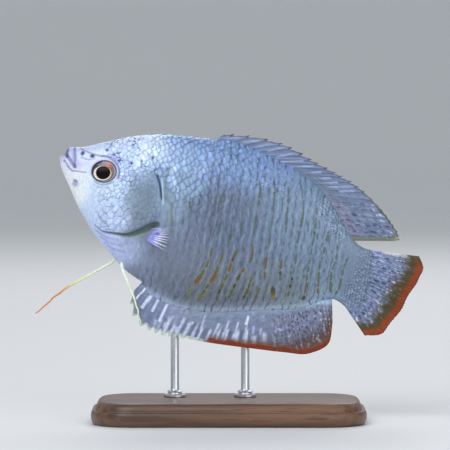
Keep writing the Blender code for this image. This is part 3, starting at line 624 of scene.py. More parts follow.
def math_node(tree, operation, *values):
    return node(tree, "Math", dict(enumerate(values)), operation=operation).outputs[0]


def times(tree, *factors):
    """The factors multiplied together."""
    product = factors[0]
    for factor in factors[1:]:
        product = math_node(tree, "MULTIPLY", product, factor)
    return product


def map_range(tree, value, low, high, to_low=0.0, to_high=1.0):
    inputs = {"Value": value, "From Min": low, "From Max": high, "To Min": to_low, "To Max": to_high}
    return node(tree, "MapRange", inputs, interpolation_type="SMOOTHSTEP").outputs["Result"]


def mix_colour(tree, factor, a, b, blend="MIX"):
    made = node(tree, "Mix", data_type="RGBA", blend_type=blend)
    for socket, value in ((made.inputs["Factor"], factor), (made.inputs[6], a), (made.inputs[7], b)):
        if isinstance(value, bpy.types.NodeSocket):
            tree.links.new(value, socket)
        elif isinstance(value, (int, float)):
            socket.default_value = value
        else:
            socket.default_value = (*value, 1.0)
    return made.outputs[2]


def noise(tree, vector, scale, detail=3.0, stretch=None):
    if stretch:
        vector = node(tree, "Mapping", {"Vector": vector, "Scale": stretch}).outputs[0]
    return node(tree, "TexNoise", {"Vector": vector, "Scale": scale, "Detail": detail}).outputs["Fac"]


def paint_layer(tree, name):
    """The three parts of a painted layer: a colour's, or three plain values."""
    layer = node(tree, "Attribute", attribute_name=name)
    return layer.outputs["Color"], node(tree, "SeparateXYZ", {0: layer.outputs["Vector"]}).outputs


def shaded(tree, paint, shade):
    grey = node(tree, "CombineColor", {0: shade, 1: shade, 2: shade}).outputs[0]
    return mix_colour(tree, 1.0, paint, grey, "MULTIPLY")


def where(tree):
    return node(tree, "TexCoord").outputs["Object"]


BUMP = (0.12, 0.0001)


def dress(tree, shader, paint, rough, height=None, bump=BUMP, coat=()):
    """Gives a surface its paint and roughness, a fine bump from a height, and a clear coat."""
    tree.links.new(paint, shader.inputs["Base Color"])
    tree.links.new(rough, shader.inputs["Roughness"])
    if height is not None:
        made = node(tree, "Bump", {"Height": height, "Strength": bump[0], "Distance": bump[1]})
        tree.links.new(made.outputs[0], shader.inputs["Normal"])
    for name, value in zip(("Coat Weight", "Coat Roughness"), coat):
        shader.inputs[name].default_value = value


def painted_material(name, grain, contrast, roughness, coat, grain_map=None):
    """Painted tones under a fine grain, given by its scale and stretch and, if it lies on one, a map."""
    material, tree, shader = new_material(name)
    tone, _ = paint_layer(tree, "tone")
    spot = node(tree, "UVMap", uv_map=grain_map).outputs[0] if grain_map else where(tree)
    fine = noise(tree, spot, grain[0], 4.0, grain[1])
    shade = map_range(tree, fine, 0.3, 0.7, 1 - contrast, 1 + contrast)
    rough = map_range(tree, fine, 0.3, 0.7, *roughness)
    dress(tree, shader, shaded(tree, tone, shade), rough, fine, coat=coat)
    return material, tree, shader


SKIN_COLOURS = {
    "crack": (80, 104, 158),
    "dark wave": (66, 86, 104),
    "light wave": (156, 174, 210),
    "hem": (138, 136, 84),
    "dash edge": (84, 96, 58),
    "dash grain": (60, 72, 60),
    "dark speck": (30, 40, 78),
    "light speck": (180, 196, 232),
}
# Violet and green shifts of the paint, as factors
SKIN_HUES = ((1.06, 0.98, 1.1), (0.92, 1.04, 0.94))
CRACK_SCALE = 640.0
CRACK_BEND = 0.0014


def skin_colour(name):
    return colour(*SKIN_COLOURS[name])


def head_cracks(tree):
    """Thin cracks over the head, bent and broken by noise, from 0 to 1."""
    bend = node(tree, "TexNoise", {"Vector": where(tree), "Scale": 700.0}).outputs["Color"]
    bent = node(tree, "VectorMath", {0: bend, 1: (CRACK_BEND,) * 3}, operation="MULTIPLY").outputs[0]
    bent = node(tree, "VectorMath", {0: where(tree), 1: bent}, operation="ADD").outputs[0]
    cells = node(tree, "TexVoronoi", {"Vector": bent, "Scale": CRACK_SCALE}, feature="DISTANCE_TO_EDGE")
    broken = map_range(tree, noise(tree, where(tree), 420.0), 0.44, 0.56)
    return times(tree, map_range(tree, cells.outputs["Distance"], 0.085, 0.02), broken)


def waves(tree, paint, lattice, band_mark):
    """Wavy lines down the columns of scales, dark ones broken up and light ones between them."""
    column = node(tree, "SeparateXYZ", {0: lattice}).outputs[0]
    sway = noise(tree, lattice, 0.6, 2.0, (1.0, 0.5, 1.0))
    swayed = math_node(tree, "MULTIPLY_ADD", sway, 1.3, column)
    wide, fine = (math_node(tree, "SINE", times(tree, swayed, turns * math.pi)) for turns in (2, 4))
    broken = map_range(tree, noise(tree, lattice, 1.0, 3.0, (1.7, 0.5, 1.0)), 0.42, 0.58)
    hue = map_range(tree, noise(tree, lattice, 1.0, 3.0, (1.6, 0.35, 1.0)), 0.36, 0.64)
    patchy = math_node(tree, "MULTIPLY_ADD", band_mark, 0.6, 0.4)
    paint = mix_colour(tree, patchy, paint, mix_colour(tree, hue, *SKIN_HUES), "MULTIPLY")
    dark = times(tree, map_range(tree, fine, 0.4, 1.0), 0.2)
    dark = math_node(tree, "ADD", map_range(tree, wide, 0.55, 0.95), dark)
    paint = mix_colour(tree, times(tree, dark, broken, band_mark, 0.72), paint, skin_colour("dark wave"))
    light = times(tree, map_range(tree, wide, -0.2, -0.9), hue, band_mark, 0.38)
    return mix_colour(tree, light, paint, skin_colour("light wave"))


def flank_dashes(tree, paint, lattice, warm_mark):
    """Dashes, dark where a place lies nearer to its line than half its width, with a yellower hem."""
    ink, _ = paint_layer(tree, "ink")
    _, (aside, half, strength) = paint_layer(tree, "dash")
    jitter = math_node(tree, "MULTIPLY_ADD", noise(tree, lattice, 3.4, 3.0), 0.9, -0.45)
    near = math_node(tree, "ABSOLUTE", math_node(tree, "ADD", aside, jitter))
    room = math_node(tree, "SUBTRACT", half, near)
    hem = times(tree, map_range(tree, room, -0.34, 0.0), strength, warm_mark, 0.6)
    paint = mix_colour(tree, hem, paint, skin_colour("hem"))
    grain = map_range(tree, noise(tree, lattice, 5.0, 3.0), 0.4, 0.62)
    inked = mix_colour(tree, map_range(tree, room, -0.02, 0.1), skin_colour("dash edge"), ink)
    inked = mix_colour(tree, times(tree, grain, 0.6), inked, skin_colour("dash grain"))
    return mix_colour(tree, times(tree, map_range(tree, room, -0.12, 0.1), strength, 0.9), paint, inked)


def flecks(tree, paint, lattice, fleck_mark):
    """Dark and light specks at the roots of the fins."""
    specks = node(tree, "TexVoronoi", {"Vector": lattice, "Scale": 1.7}, voronoi_dimensions="2D")
    pick = node(tree, "SeparateXYZ", {0: specks.outputs["Color"]}).outputs[0]
    pick = map_range(tree, pick, 0.62, 0.66)
    speck = mix_colour(tree, pick, skin_colour("dark speck"), skin_colour("light speck"))
    dot = times(tree, map_range(tree, specks.outputs["Distance"], 0.32, 0.18), fleck_mark)
    return mix_colour(tree, dot, paint, speck)


def skin_material():
    """Scaled skin: painted tones, cracks on the head, soft waves, dark dashes and flecks."""
    material, tree, shader = new_material("skin_paint")
    tone, _ = paint_layer(tree, "tone")
    _, (band_mark, warm_mark, fleck_mark) = paint_layer(tree, "marks")
    _, (crack_mark, _, _) = paint_layer(tree, "cracks")
    lattice = node(tree, "UVMap", uv_map="Lattice").outputs[0]
    streaks = map_range(tree, noise(tree, lattice, 1.0, 3.0, (3.0, 0.7, 1.0)), 0.3, 0.7, 0.9, 1.1)
    paint = shaded(tree, tone, streaks)
    paint = mix_colour(tree, times(tree, head_cracks(tree), crack_mark), paint, skin_colour("crack"))
    paint = waves(tree, paint, lattice, band_mark)
    paint = flank_dashes(tree, paint, lattice, warm_mark)
    paint = flecks(tree, paint, lattice, fleck_mark)
    rough = map_range(tree, noise(tree, where(tree), 900.0), 0.3, 0.7, 0.34, 0.48)
    dress(tree, shader, paint, rough, noise(tree, where(tree), 2600.0), coat=(0.18, 0.22))
    shader.inputs["Metallic"].default_value = 0.12
    return material


# Meshes


def build(name, points, faces, material, nodes=(), maps=None, paints=None, in_fish_frame=True,
          crease=None):
    """A smooth mesh piece from an array of faces, or from several of unlike widths. Maps are UV maps and
    paints are colours, with one row for each point. A crease is the angle past which edges stay sharp."""
    spots = place(points) if in_fish_frame else np.asarray(points, float)
    groups = [np.asarray(group, np.int32) for group in (faces if isinstance(faces, list) else [faces])]
    corners = np.concatenate([group.ravel() for group in groups])
    sizes = np.concatenate([np.full(len(group), group.shape[1]) for group in groups])
    mesh = bpy.data.meshes.new(name)
    mesh.vertices.add(len(spots))
    mesh.vertices.foreach_set("co", spots.ravel())
    mesh.loops.add(len(corners))
    mesh.loops.foreach_set("vertex_index", corners)
    mesh.polygons.add(len(sizes))
    mesh.polygons.foreach_set("loop_start", np.concatenate([[0], np.cumsum(sizes)[:-1]]).astype(np.int32))
    mesh.update(calc_edges=True)
    mesh.shade_smooth()
    if crease:
        mesh.set_sharp_from_angle(angle=math.radians(crease))
    for key, rows in (maps or {}).items():
        layer = mesh.uv_layers.new(name=key)
        layer.data.foreach_set("uv", np.asarray(rows, float)[corners].ravel())
    for key, rows in (paints or {}).items():
        layer = mesh.color_attributes.new(key, "FLOAT_COLOR", "POINT")
        rows = np.asarray(rows, float)
        layer.data.foreach_set("color", np.column_stack([rows, np.ones(len(rows))]).ravel())
    mesh.materials.append(material)
    piece = bpy.data.objects.new(name, mesh)
    bpy.context.scene.collection.objects.link(piece)
    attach(piece, "root")
    if nodes:
        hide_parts(*nodes)
    return piece


def grid_faces(rows, columns, wrap=False):
    """Quads of a grid of points, counted along its rows. With wrap the last column joins the first."""
    i, j = np.meshgrid(np.arange(rows - 1), np.arange(columns if wrap else columns - 1), indexing="ij")
    right = (j + 1) % columns
    a, b = i * columns + j, i * columns + right
    return np.stack([a, b, b + columns, a + columns], axis=-1).reshape(-1, 4)


def grid_rim(rows, columns):
    """The points round the rim of such a grid."""
    grid = np.arange(rows * columns).reshape(rows, columns)
    return np.concatenate([grid[0], grid[1:, -1], grid[-1, -2::-1], grid[-2:0:-1, 0]])


def fan(ring, tip):
    """Triangles from each edge of a closed ring of points to a tip."""
    ring = np.asarray(ring)
    return np.column_stack([ring, np.roll(ring, -1), np.full(len(ring), tip)])


def repeated(faces, count, stride, flip):
    """The faces of one small body as those of many, each with its own stride of points."""
    if flip:
        faces = faces[:, ::-1]
    return (faces[None] + (np.arange(count) * stride)[:, None, None]).reshape(-1, faces.shape[1])


def close_ends(piece):
    """Fills the open ends of a lofted piece with one face each."""
    work = bmesh.new()
    work.from_mesh(piece.data)
    bmesh.ops.holes_fill(work, edges=[e for e in work.edges if e.is_boundary])
    work.to_mesh(piece.data)
    work.free()


# Lattice of scales: columns along the side, rows up and down it, half a row out in every second column
LATTICE_X = (-4.0, 0.0, 8.0, 16.0, 24.0, 32.0, 44.0, 56.0, 64.0, 72.0)
COLUMN_PITCH = (1.05, 1.05, 1.1, 1.3, 1.55, 1.6, 1.55, 1.45, 1.2, 1.05)
ROW_HEIGHT = (0.55, 0.55, 0.60, 0.72, 0.82, 0.86, 0.82, 0.72, 0.56, 0.46)
LEAN_START = -9.0
LEAN_SHARE = 0.2


def lean(arc):
    """How far forward a column of scales stands at a height up the side."""
    rise = arc - LEAN_START
    return LEAN_SHARE * 0.5 * (rise + np.sqrt(rise * rise + 16.0))


class Lattice:
    """Maps columns and rows of scales to places on the body, and back."""

    def __init__(self):
        self.x = np.linspace(LATTICE_X[0], LATTICE_X[-1], 600)
        pitch = curve_through(LATTICE_X, COLUMN_PITCH, self.x)
        self.column = np.concatenate([[0.0], np.cumsum(np.diff(self.x) / ((pitch[1:] + pitch[:-1]) / 2))])
        self.stations = np.linspace(BODY[0][0] + 0.3, SKIN_END, 170)
        self.angles = np.linspace(-math.pi / 2, math.pi / 2, 181)
        points = bare_points(self.stations[:, None], self.angles[None, :])
        steps = np.linalg.norm(np.diff(points, axis=1), axis=2)
        arc = np.concatenate([np.zeros((len(points), 1)), np.cumsum(steps, axis=1)], axis=1)
        middle = len(self.angles) // 2
        self.arc = arc - arc[:, middle:middle + 1]

    def station(self, x):
        pitch = self.stations[1] - self.stations[0]
        return np.clip((x - self.stations[0]) / pitch, 0, len(self.stations) - 1.001)

    @staticmethod
    def bilinear(table, i, j):
        i0, j0 = i.astype(int), j.astype(int)
        fi, fj = i - i0, j - j0
        low = table[i0, j0] * (1 - fj) + table[i0, j0 + 1] * fj
        high = table[i0 + 1, j0] * (1 - fj) + table[i0 + 1, j0 + 1] * fj
        return low * (1 - fi) + high * fi

    def arc_at(self, x, angle):
        """Distance up the side from the widest line. Angles on the left side count as on the right."""
        angle = np.arcsin(np.clip(np.sin(angle), -1, 1))
        j = np.clip((angle - self.angles[0]) / (self.angles[1] - self.angles[0]), 0, len(self.angles) - 1.001)
        return self.bilinear(self.arc, self.station(x), j)

    def angle_at(self, x, arc):
        """The section angle at a distance up the side, and how far past the back or belly it would lie."""
        i = self.station(x)
        low, high = np.zeros(np.shape(x)), np.full(np.shape(x), len(self.angles) - 1.001)
        for _ in range(16):
            middle = (low + high) / 2
            under = self.bilinear(self.arc, i, middle) < arc
            low, high = np.where(under, middle, low), np.where(under, high, middle)
        edge = np.full(np.shape(x), len(self.angles) - 1.001)
        past = np.maximum(arc - self.bilinear(self.arc, i, edge), self.bilinear(self.arc, i, edge * 0) - arc)
        return self.angles[0] + (low + high) / 2 * (self.angles[1] - self.angles[0]), past

    def forward(self, column, row):
        """The body's x and the distance up the side of a place in the lattice."""
        x = np.interp(column, self.column, self.x)
        arc = row * curve_through(LATTICE_X, ROW_HEIGHT, x)
        return x - lean(arc), arc

    def back(self, x, arc):
        """Column and row of a place on the body."""
        upright = x + lean(arc)
        return np.stack([np.interp(upright, self.x, self.column),
                         arc / curve_through(LATTICE_X, ROW_HEIGHT, upright)],
                        axis=-1)


# Tones of the skin: a place's x and z, its spread along and up, and its colour
TONES = {
    "snout": (2.5, 1.6, 3.4, 3.2, (190, 198, 236)),
    "chin": (3.6, -4.5, 3.6, 4.0, (240, 244, 254)),
    "forehead": (7.5, 6.0, 5.0, 3.0, (199, 214, 238)),
    "cheek": (12.0, -4.6, 4.0, 3.6, (204, 224, 254)),
    "cheek below": (12.6, -8.4, 4.0, 2.6, (198, 214, 244)),
    "opercle": (19.2, -1.5, 2.6, 4.6, (116, 136, 152)),
    "temple": (14.0, 4.6, 4.0, 2.2, (188, 211, 246)),
    "throat": (16.0, -14.0, 6.0, 2.6, (196, 210, 252)),
    "nape": (14.0, 9.0, 5.2, 3.2, (206, 222, 255)),
    "shoulder": (24.0, 6.5, 4.6, 5.0, (138, 167, 205)),
    "behind the gill": (26.0, -1.0, 3.0, 4.6, (138, 161, 184)),
    "breast": (28.5, -11.0, 7.0, 6.5, (116, 126, 148)),
    "back": (34.5, 12.5, 9.0, 4.0, (122, 150, 197)),
    "flank": (39.0, -0.5, 8.0, 7.0, (99, 111, 135)),
    "belly": (40.0, -14.5, 10.0, 5.0, (112, 122, 138)),
    "rear flank": (51.0, 3.5, 7.0, 8.0, (112, 135, 160)),
    "rear belly": (53.0, -8.5, 6.0, 5.0, (114, 127, 138)),
    "tail stem": (62.0, -0.5, 5.0, 7.0, (110, 131, 152)),
    "tail root": (68.6, -2.0, 3.4, 8.0, (105, 122, 146)),
    "stem below": (62.5, -5.0, 3.4, 3.2, (124, 145, 165)),
}
CRACK_DIMMING = np.array((0.5, 0.42, 0.24))


def lay(tone, mask, shade):
    """A tone with a display colour laid over it where the mask, from 0 to 1, lets it."""
    mask = np.clip(mask, 0, 1)[..., None]
    return tone * (1 - mask) + colour(*shade) * mask


def body_tone(points):
    """The skin's painted colour, blended from the regions, with the marks on the head laid over them.
    Behind the head the belly's lower edge carries painted light, and the gill opening painted shadow.
    """
    x, _, z = np.moveaxis(points, -1, 0)
    along = x + 0.8 * wobble(x, z, 7.0, 3)
    up = z + 0.8 * wobble(x, z, 7.0, 4)
    tone = np.zeros((*np.shape(x), 3))
    weight = np.zeros(np.shape(x)) + 1e-9
    for tx, tz, width, height, shade in TONES.values():
        w = np.exp(-(((along - tx) / width) ** 2) - ((up - tz) / height) ** 2) + 1e-6
        tone += w[..., None] * colour(*shade)
        weight += w
    tone = tone / weight[..., None]
    # Painted light: behind the head, the skin just above the belly's edge is painted paler, and the sheath
    # below it paler still, to make up for the shade that falls there
    over = z - section(x)[1]
    behind = smooth_step(22.0, 28.0, x)
    painted_belly_light = 1 + 0.35 * behind * smooth_step(3.2, 0.4, over) + behind * smooth_step(0.0, -1.2, over)
    tone = tone * painted_belly_light[..., None]
    for side in (-1, 1):
        share, _ = eye_share(points, side)
        tone = lay(tone, smooth_step(1.16, 1.04, share), (60, 66, 96))
    # Painted shadow in the opening under the gill cover, over the membrane's own dark colour, darkest near
    # its rear end
    outside = smooth_step(0.1, -0.05, inside_cover(x, z))
    dark_x, dark_z = in_fish([GILL_SHADOW_DARKEST])[0]
    gill = outside * smooth_step(0.22, -0.1, gill_gap(x, z))
    tone = lay(tone, gill, (72, 94, 92))
    tone = lay(tone, gill * bell(np.hypot(x - dark_x, z - dark_z), 0.9), (36, 50, 50))
    for line, _, _, strength, width, shade in HEAD_LINES.values():
        tone = lay(tone, strength * bell(nearest(in_fish(line), x, z, 2.5 * width)[0], width), shade)
    for px, py, across, rise, _, strength, shade in HEAD_SPOTS.values():
        sx, sz = in_fish([(px, py)])[0]
        away = np.hypot((x - sx) / across, (z - sz) / rise) / PIXEL
        tone = lay(tone, strength * bell(away ** 1.6), shade)
    return tone


INK_REACH = 1.5
DASH_SLIMMING = 0.98
THREAD_HALF = 0.07


def flank_ink(x, z):
    """The dark dashes: their ink, and each place's distance from the line, half width and strength."""
    best = np.full(np.shape(x), INK_REACH)
    ink = np.zeros((*np.shape(x), 3)) + colour(*INKS["slate"])
    dash = np.zeros((*np.shape(x), 3)) + (INK_REACH, 0.0, 0.0)
    for line, dashes in FLANK_LINES:
        rows = in_fish([(px, py, py) for px, py in line])
        away, aside, row = nearest(rows, x, z, INK_REACH)
        total, half, shade = np.full(np.shape(x), 1e-6), np.zeros(np.shape(x)), np.zeros((*np.shape(x), 3))
        for top, bottom, width, kind in dashes:
            on = smooth_step(top - 1.6, top + 1.0, row) * smooth_step(bottom + 1.6, bottom - 1.0, row)
            total += on
            half += on * width * PIXEL
            shade += on[..., None] * colour(*INKS[kind])
        first, last = dashes[0][0], dashes[-1][1]
        joined = 0.45 * smooth_step(first - 2, first + 6, row) * smooth_step(last + 2, last - 2, row)
        joined *= 0.6 + 0.4 * wobble(x, z, 3.0, 7)
        nearer = away < best
        best = np.where(nearer, away, best)
        found = nearer & (total > 0.01)
        ink[found] = (shade / total[..., None])[found]
        half = np.maximum(DASH_SLIMMING * half, THREAD_HALF * (joined > 0))
        dash[nearer] = np.stack([aside, half, np.maximum(np.clip(3 * total, 0, 1), joined)], axis=-1)[nearer]
    return ink, dash


def body_marks(points):
    """Strength of the soft bands, of the dashes' yellow hems and of the flecks, from 0 to 1."""
    x, _, z = np.moveaxis(points, -1, 0)
    behind = smooth_step(24.0, 30.0, x - 0.25 * z)
    calm = bell(np.hypot((x - 30.0) / 6.5, (z + 12.0) / 5.5))
    warm = smooth_step(-3.0, -8.0, z + 0.12 * (x - 30))
    back = section(x)[0]
    fleck = smooth_step(4.6, 2.6, back - z) * smooth_step(52.0, 55.0, x) * smooth_step(63.0, 60.0, x)
    at_back = bell(np.hypot((x - 42.5) / 5.0, (z - 10.8) / 2.2))
    at_stem = smooth_step(65.0, 67.8, x - 0.1 * z)
    fleck += 0.6 * at_back + 0.75 * at_stem
    smooth_root = smooth_step(62.6, 64.6, x + 0.15 * z)
    return np.stack([behind * (1 - 0.85 * calm) * (1 - 0.9 * smooth_root), warm, np.clip(fleck, 0, 0.8)],
                    axis=-1)


def skin_layers(points, gain=1.0):
    """The painted layers of skin and scales at points of the body, as rows."""
    flat = points.reshape(-1, 3)
    tone = np.clip(body_tone(flat) * np.reshape(gain, (-1, 1)), 0, 0.93)
    x, _, z = flat.T
    ink, dash = flank_ink(x, z)
    front = smooth_step(9.0, 13.0, x + 0.4 * (z + 5))
    head = (0.5 + 0.5 * smooth_step(0.0, 5.0, z)) * plated(x, z) * plate_strength(x, z) * front
    head += 0.42 * smooth_step(24.0, 17.0, x) * (z > NAPE_Z)
    cracks = np.column_stack([np.clip(head, 0, 1), 0 * x, 0 * x])
    return {"tone": tone, "marks": body_marks(flat), "ink": ink, "dash": dash, "cracks": cracks}


def unwrapped(x, angle):
    """Where a place lies on the skin's own unwrap."""
    return np.stack([x / (SKIN_END + 2), angle / (2 * math.pi) + 0.5], axis=-1)


PATCH = 0.003

SKIN_RINGS_NOSE = 14
SKIN_RINGS_HEAD = 210
SKIN_RINGS_BODY = 84
SKIN_AROUND = 320


def make_skin(lattice, material):
    """One closed skin from the lips to the root of the tail fin."""
    start = BODY[0][0]
    nose = start + NOSE_ROUNDING * (1 - np.cos(np.linspace(0.04, math.pi / 2, SKIN_RINGS_NOSE)))
    head = nose[-1] + (HEAD_END - nose[-1]) * np.linspace(0, 1, SKIN_RINGS_HEAD)[1:] ** 1.15
    body = np.linspace(HEAD_END, SKIN_END, SKIN_RINGS_BODY)[1:]
    x = np.concatenate([nose, head, body])[:, None]
    angle = np.linspace(-math.pi, math.pi, SKIN_AROUND, endpoint=False)[None, :]
    x, angle = np.broadcast_arrays(x, angle)
    points = skin_points(x, angle)
    layers = skin_layers(points)
    flat = points.reshape(-1, 3)
    broken = 0.55 + 0.45 * wobble(flat[:, 0], flat[:, 2], 2.6, 8)
    side_x, _, side_z = flat.T
    cracks = np.clip(broken, 0.1, 0.9) * plated(side_x, side_z) * plate_strength(side_x, side_z)
    layers["tone"] = layers["tone"] * (1 - cracks[:, None] * CRACK_DIMMING)
    lattice_map = lattice.back(x, lattice.arc_at(x, angle)).reshape(-1, 2)
    piece = build(
        "fish_skin", flat, grid_faces(len(x), SKIN_AROUND, wrap=True), material,
        ("head", "torso", "tail_stem", "lower_jaw", "gill_cover_left", "gill_cover_right"),
        maps={"Lattice": lattice_map, "Unwrap": unwrapped(x, angle).reshape(-1, 2)}, paints=layers,
    )
    close_ends(piece)


# Plates on the head: small domes of uneven outline, a little longer up and down the cheek
PLATE_TRIES = 12000
PLATE_TURNS = 20
PLATE_RINGS = (0.0, 0.45, 0.72, 0.9, 1.0)
PLATE_PROFILE = (1.0, 0.98, 0.9, 0.66, -0.35)
PLATE_NEIGHBOURS = 14
PLATE_LENGTHENING = 1.35
PLATE_LEAN = 65.0
PLATE_DEPTH = 0.35
PLATE_SPACING = 0.64
PLATE_REACH = 0.62
PLATE_SEAM = 0.02
PLATE_LEAST = 0.1
PLATE_HEIGHT = 0.045
PLATE_SLANT = 0.17
PLATE_SEED = 11


def plate_size(x, z):
    """Distance from one plate to the next, in millimetres."""
    crown = smooth_step(0.0, 4.0, z)
    low = bell(np.hypot((x - 16.0) / 5.0, (z + 7.8) / 4.0))
    return 0.98 + 0.12 * crown + 0.7 * low


def plate_strength(x, z):
    """How far plates stand out: less on the smooth rear of the gill cover."""
    calm = bell(np.hypot((x - 20.0) / 3.4, (z + 1.4) / 5.2))
    return 1 - 0.88 * calm


def plate_sites(lattice, rng):
    """Middles of the plates of one side, as x and distance up the side, by throwing darts that keep apart."""
    x, arc = rng.uniform(6.0, 25.0, PLATE_TRIES), rng.uniform(-16.0, 14.0, PLATE_TRIES)
    angle, past = lattice.angle_at(x, arc)
    z = bare_points(x, angle)[:, 2]
    fit = (past < 0.1) & (plated(x, z) > 0.35)
    x, arc, size = x[fit], arc[fit], plate_size(x, z)[fit]
    spots = lengthened(np.column_stack([x, arc]), 1 / PLATE_LENGTHENING)
    kept = []
    for i, spot in enumerate(spots):
        if not kept or (np.linalg.norm(spots[kept] - spot, axis=1) > PLATE_SPACING * size[i]).all():
            kept.append(i)
    return spots[kept], size[kept]


def lengthened(spots, factor):
    """Points stretched along the plates' long way."""
    turn = math.radians(PLATE_LEAN)
    way = np.array((math.cos(turn), math.sin(turn)))
    return spots + (spots @ way)[..., None] * way * (factor - 1)


def plate_outlines(spots, size):
    """Rings of points round each plate's middle, out to halfway to its neighbours.

    The middle comes first, and once more at the end for the underside.
    """
    turn = np.linspace(0, 2 * math.pi, PLATE_TURNS, endpoint=False)
    ways = np.column_stack([np.cos(turn), np.sin(turn)])
    gaps = np.linalg.norm(spots[:, None] - spots[None], axis=2)
    others = np.argsort(gaps, axis=1)[:, 1:PLATE_NEIGHBOURS]
    offsets = spots[others] - spots[:, None]
    toward = np.einsum("nkd,md->nkm", offsets, ways)
    reach = (offsets ** 2).sum(axis=2)[:, :, None] / np.maximum(2 * toward, 1e-6)
    reach = np.minimum(reach.min(axis=1), PLATE_REACH * size[:, None])
    reach = 0.25 * np.roll(reach, 1, axis=1) + 0.5 * reach + 0.25 * np.roll(reach, -1, axis=1)
    reach = np.maximum(reach - PLATE_SEAM, PLATE_LEAST)
    share = np.array(PLATE_RINGS)
    outline = spots[:, None, None] + share[None, :, None, None] * (reach[..., None] * ways)[:, None]
    outline = lengthened(outline, PLATE_LENGTHENING)
    middle, rings = outline[:, :1, 0], outline[:, 1:].reshape(len(spots), -1, 2)
    return np.concatenate([middle, rings, middle], axis=1)


def over_plate(values):
    """One value for each ring, spread over a plate's points. The underside's middle takes the rim's."""
    return np.concatenate([values[:1], np.repeat(values[1:], PLATE_TURNS), values[-1:]])


def plate_faces():
    """Walls and caps of one plate, with its middle first and the underside's middle last."""
    rings = 1 + np.arange(PLATE_TURNS * (len(PLATE_RINGS) - 1)).reshape(-1, PLATE_TURNS)
    walls = [np.column_stack([np.roll(a, -1), a, b, np.roll(b, -1)]) for a, b in zip(rings, rings[1:])]
    return np.vstack(walls), np.vstack([fan(rings[0], 0), fan(rings[-1], rings[-1, -1] + 1)[:, ::-1]])


def make_plates(word, lattice, side, material):
    """The plates on one side of the head. Each is a low dome with its underside in the skin."""
    rng = np.random.default_rng(PLATE_SEED + side)
    spots, size = plate_sites(lattice, rng)
    count = len(spots)
    outline = plate_outlines(spots, size)
    x, arc = outline[..., 0], outline[..., 1]
    angle, _ = lattice.angle_at(x, arc)
    z = bare_points(x, angle)[..., 2]
    strength = plate_strength(x[:, 0], z[:, 0]) * smooth_step(0.2, 0.95, plated(x[:, 0], z[:, 0]))
    height = PLATE_HEIGHT * (1 + strength) * (1 + 0.5 * rng.uniform(-1, 1, count))
    slant = rng.uniform(-1, 1, (count, 2)) * PLATE_SLANT * strength[:, None]
    offset = outline - outline[:, :1]
    lift = height[:, None] * over_plate(PLATE_PROFILE) + (offset * slant[:, None]).sum(axis=2)
    lift -= 0.5 * smooth_step(0.45, 0.12, inside_cover(x, z)) * (z < NAPE_Z)
    lift[:, -1] = lift.min(axis=1) - PLATE_DEPTH
    points = skin_points(x, angle, lift)
    around = over_plate(PLATE_RINGS)
    tint = rng.uniform(-1, 1, (count, 1))
    broken = np.clip(0.5 + 0.8 * wobble(x, z, 2.0, 6), 0, 1)
    gain = 1 + strength[:, None] * (0.12 * tint + 0.07 * bell(around, 0.7) - 0.22 * broken * around ** 5)
    faces = [repeated(part, count, points.shape[1], side > 0) for part in plate_faces()]
    root = unwrapped(x[:, :1], side * angle[:, :1])
    patch = offset / (2 * size[:, None, None]) * PATCH
    return build(
        f"head_plates_{word}", points.reshape(-1, 3) * (1.0, side, 1.0), faces, material,
        maps={"OFBake": (root + patch).reshape(-1, 2), "Lattice": lattice.back(x, arc).reshape(-1, 2)},
        paints=skin_layers(points, gain), crease=60,
    )


# Scales
SCALE_ACROSS = 9
SCALE_ALONG = 10
SCALE_LENGTH = 1.9
SCALE_HALF_ROWS = 1.2
SCALE_ROOT_SINK = 0.05
SCALE_SETS = 2
SCALE_DRAWS = 9
SCALE_SEEDS = {"left": 20, "right": 25}


def scale_roots(lattice):
    """Columns and rows of all scales of one side, on places that grow scales."""
    columns = np.arange(0, 2 * int(lattice.column[-1]))
    found = np.array([(i / 2, 2 * j + (i % 2)) for i in columns for j in range(-40, 41)], float)
    column, row = found.T
    tip_x, _ = lattice.forward(column + SCALE_LENGTH, row)
    column, row = column[tip_x < SKIN_END + 0.2], row[tip_x < SKIN_END + 0.2]
    x, arc = lattice.forward(column + SCALE_LENGTH * 0.6, row)
    angle, past = lattice.angle_at(x, arc)
    z = bare_points(x, angle)[:, 2]
    keep = (past < 0.35) & (x > 12.0) & (scaled(x, z) > 0.5)
    return column[keep], row[keep]


def scale_style(x, z):
    """For places on the body, from 0 to 1: how far the scales stand out, and how smooth the skin is there."""
    shoulder = smooth_step(43.0, 27.0, x - 0.55 * (z - 6)) * smooth_step(-3.0, 3.0, z)
    calm = bell(np.hypot((x - 30.0) / 6.5, (z + 12.0) / 5.5))
    throat = smooth_step(21.0, 17.0, x) * smooth_step(-8.0, -11.0, z)
    return shoulder, np.clip(np.maximum(calm, 0.9 * throat), 0, 1)


def each(values):
    """One value for each scale, ready to spread over its points."""
    return np.asarray(values)[:, None, None]


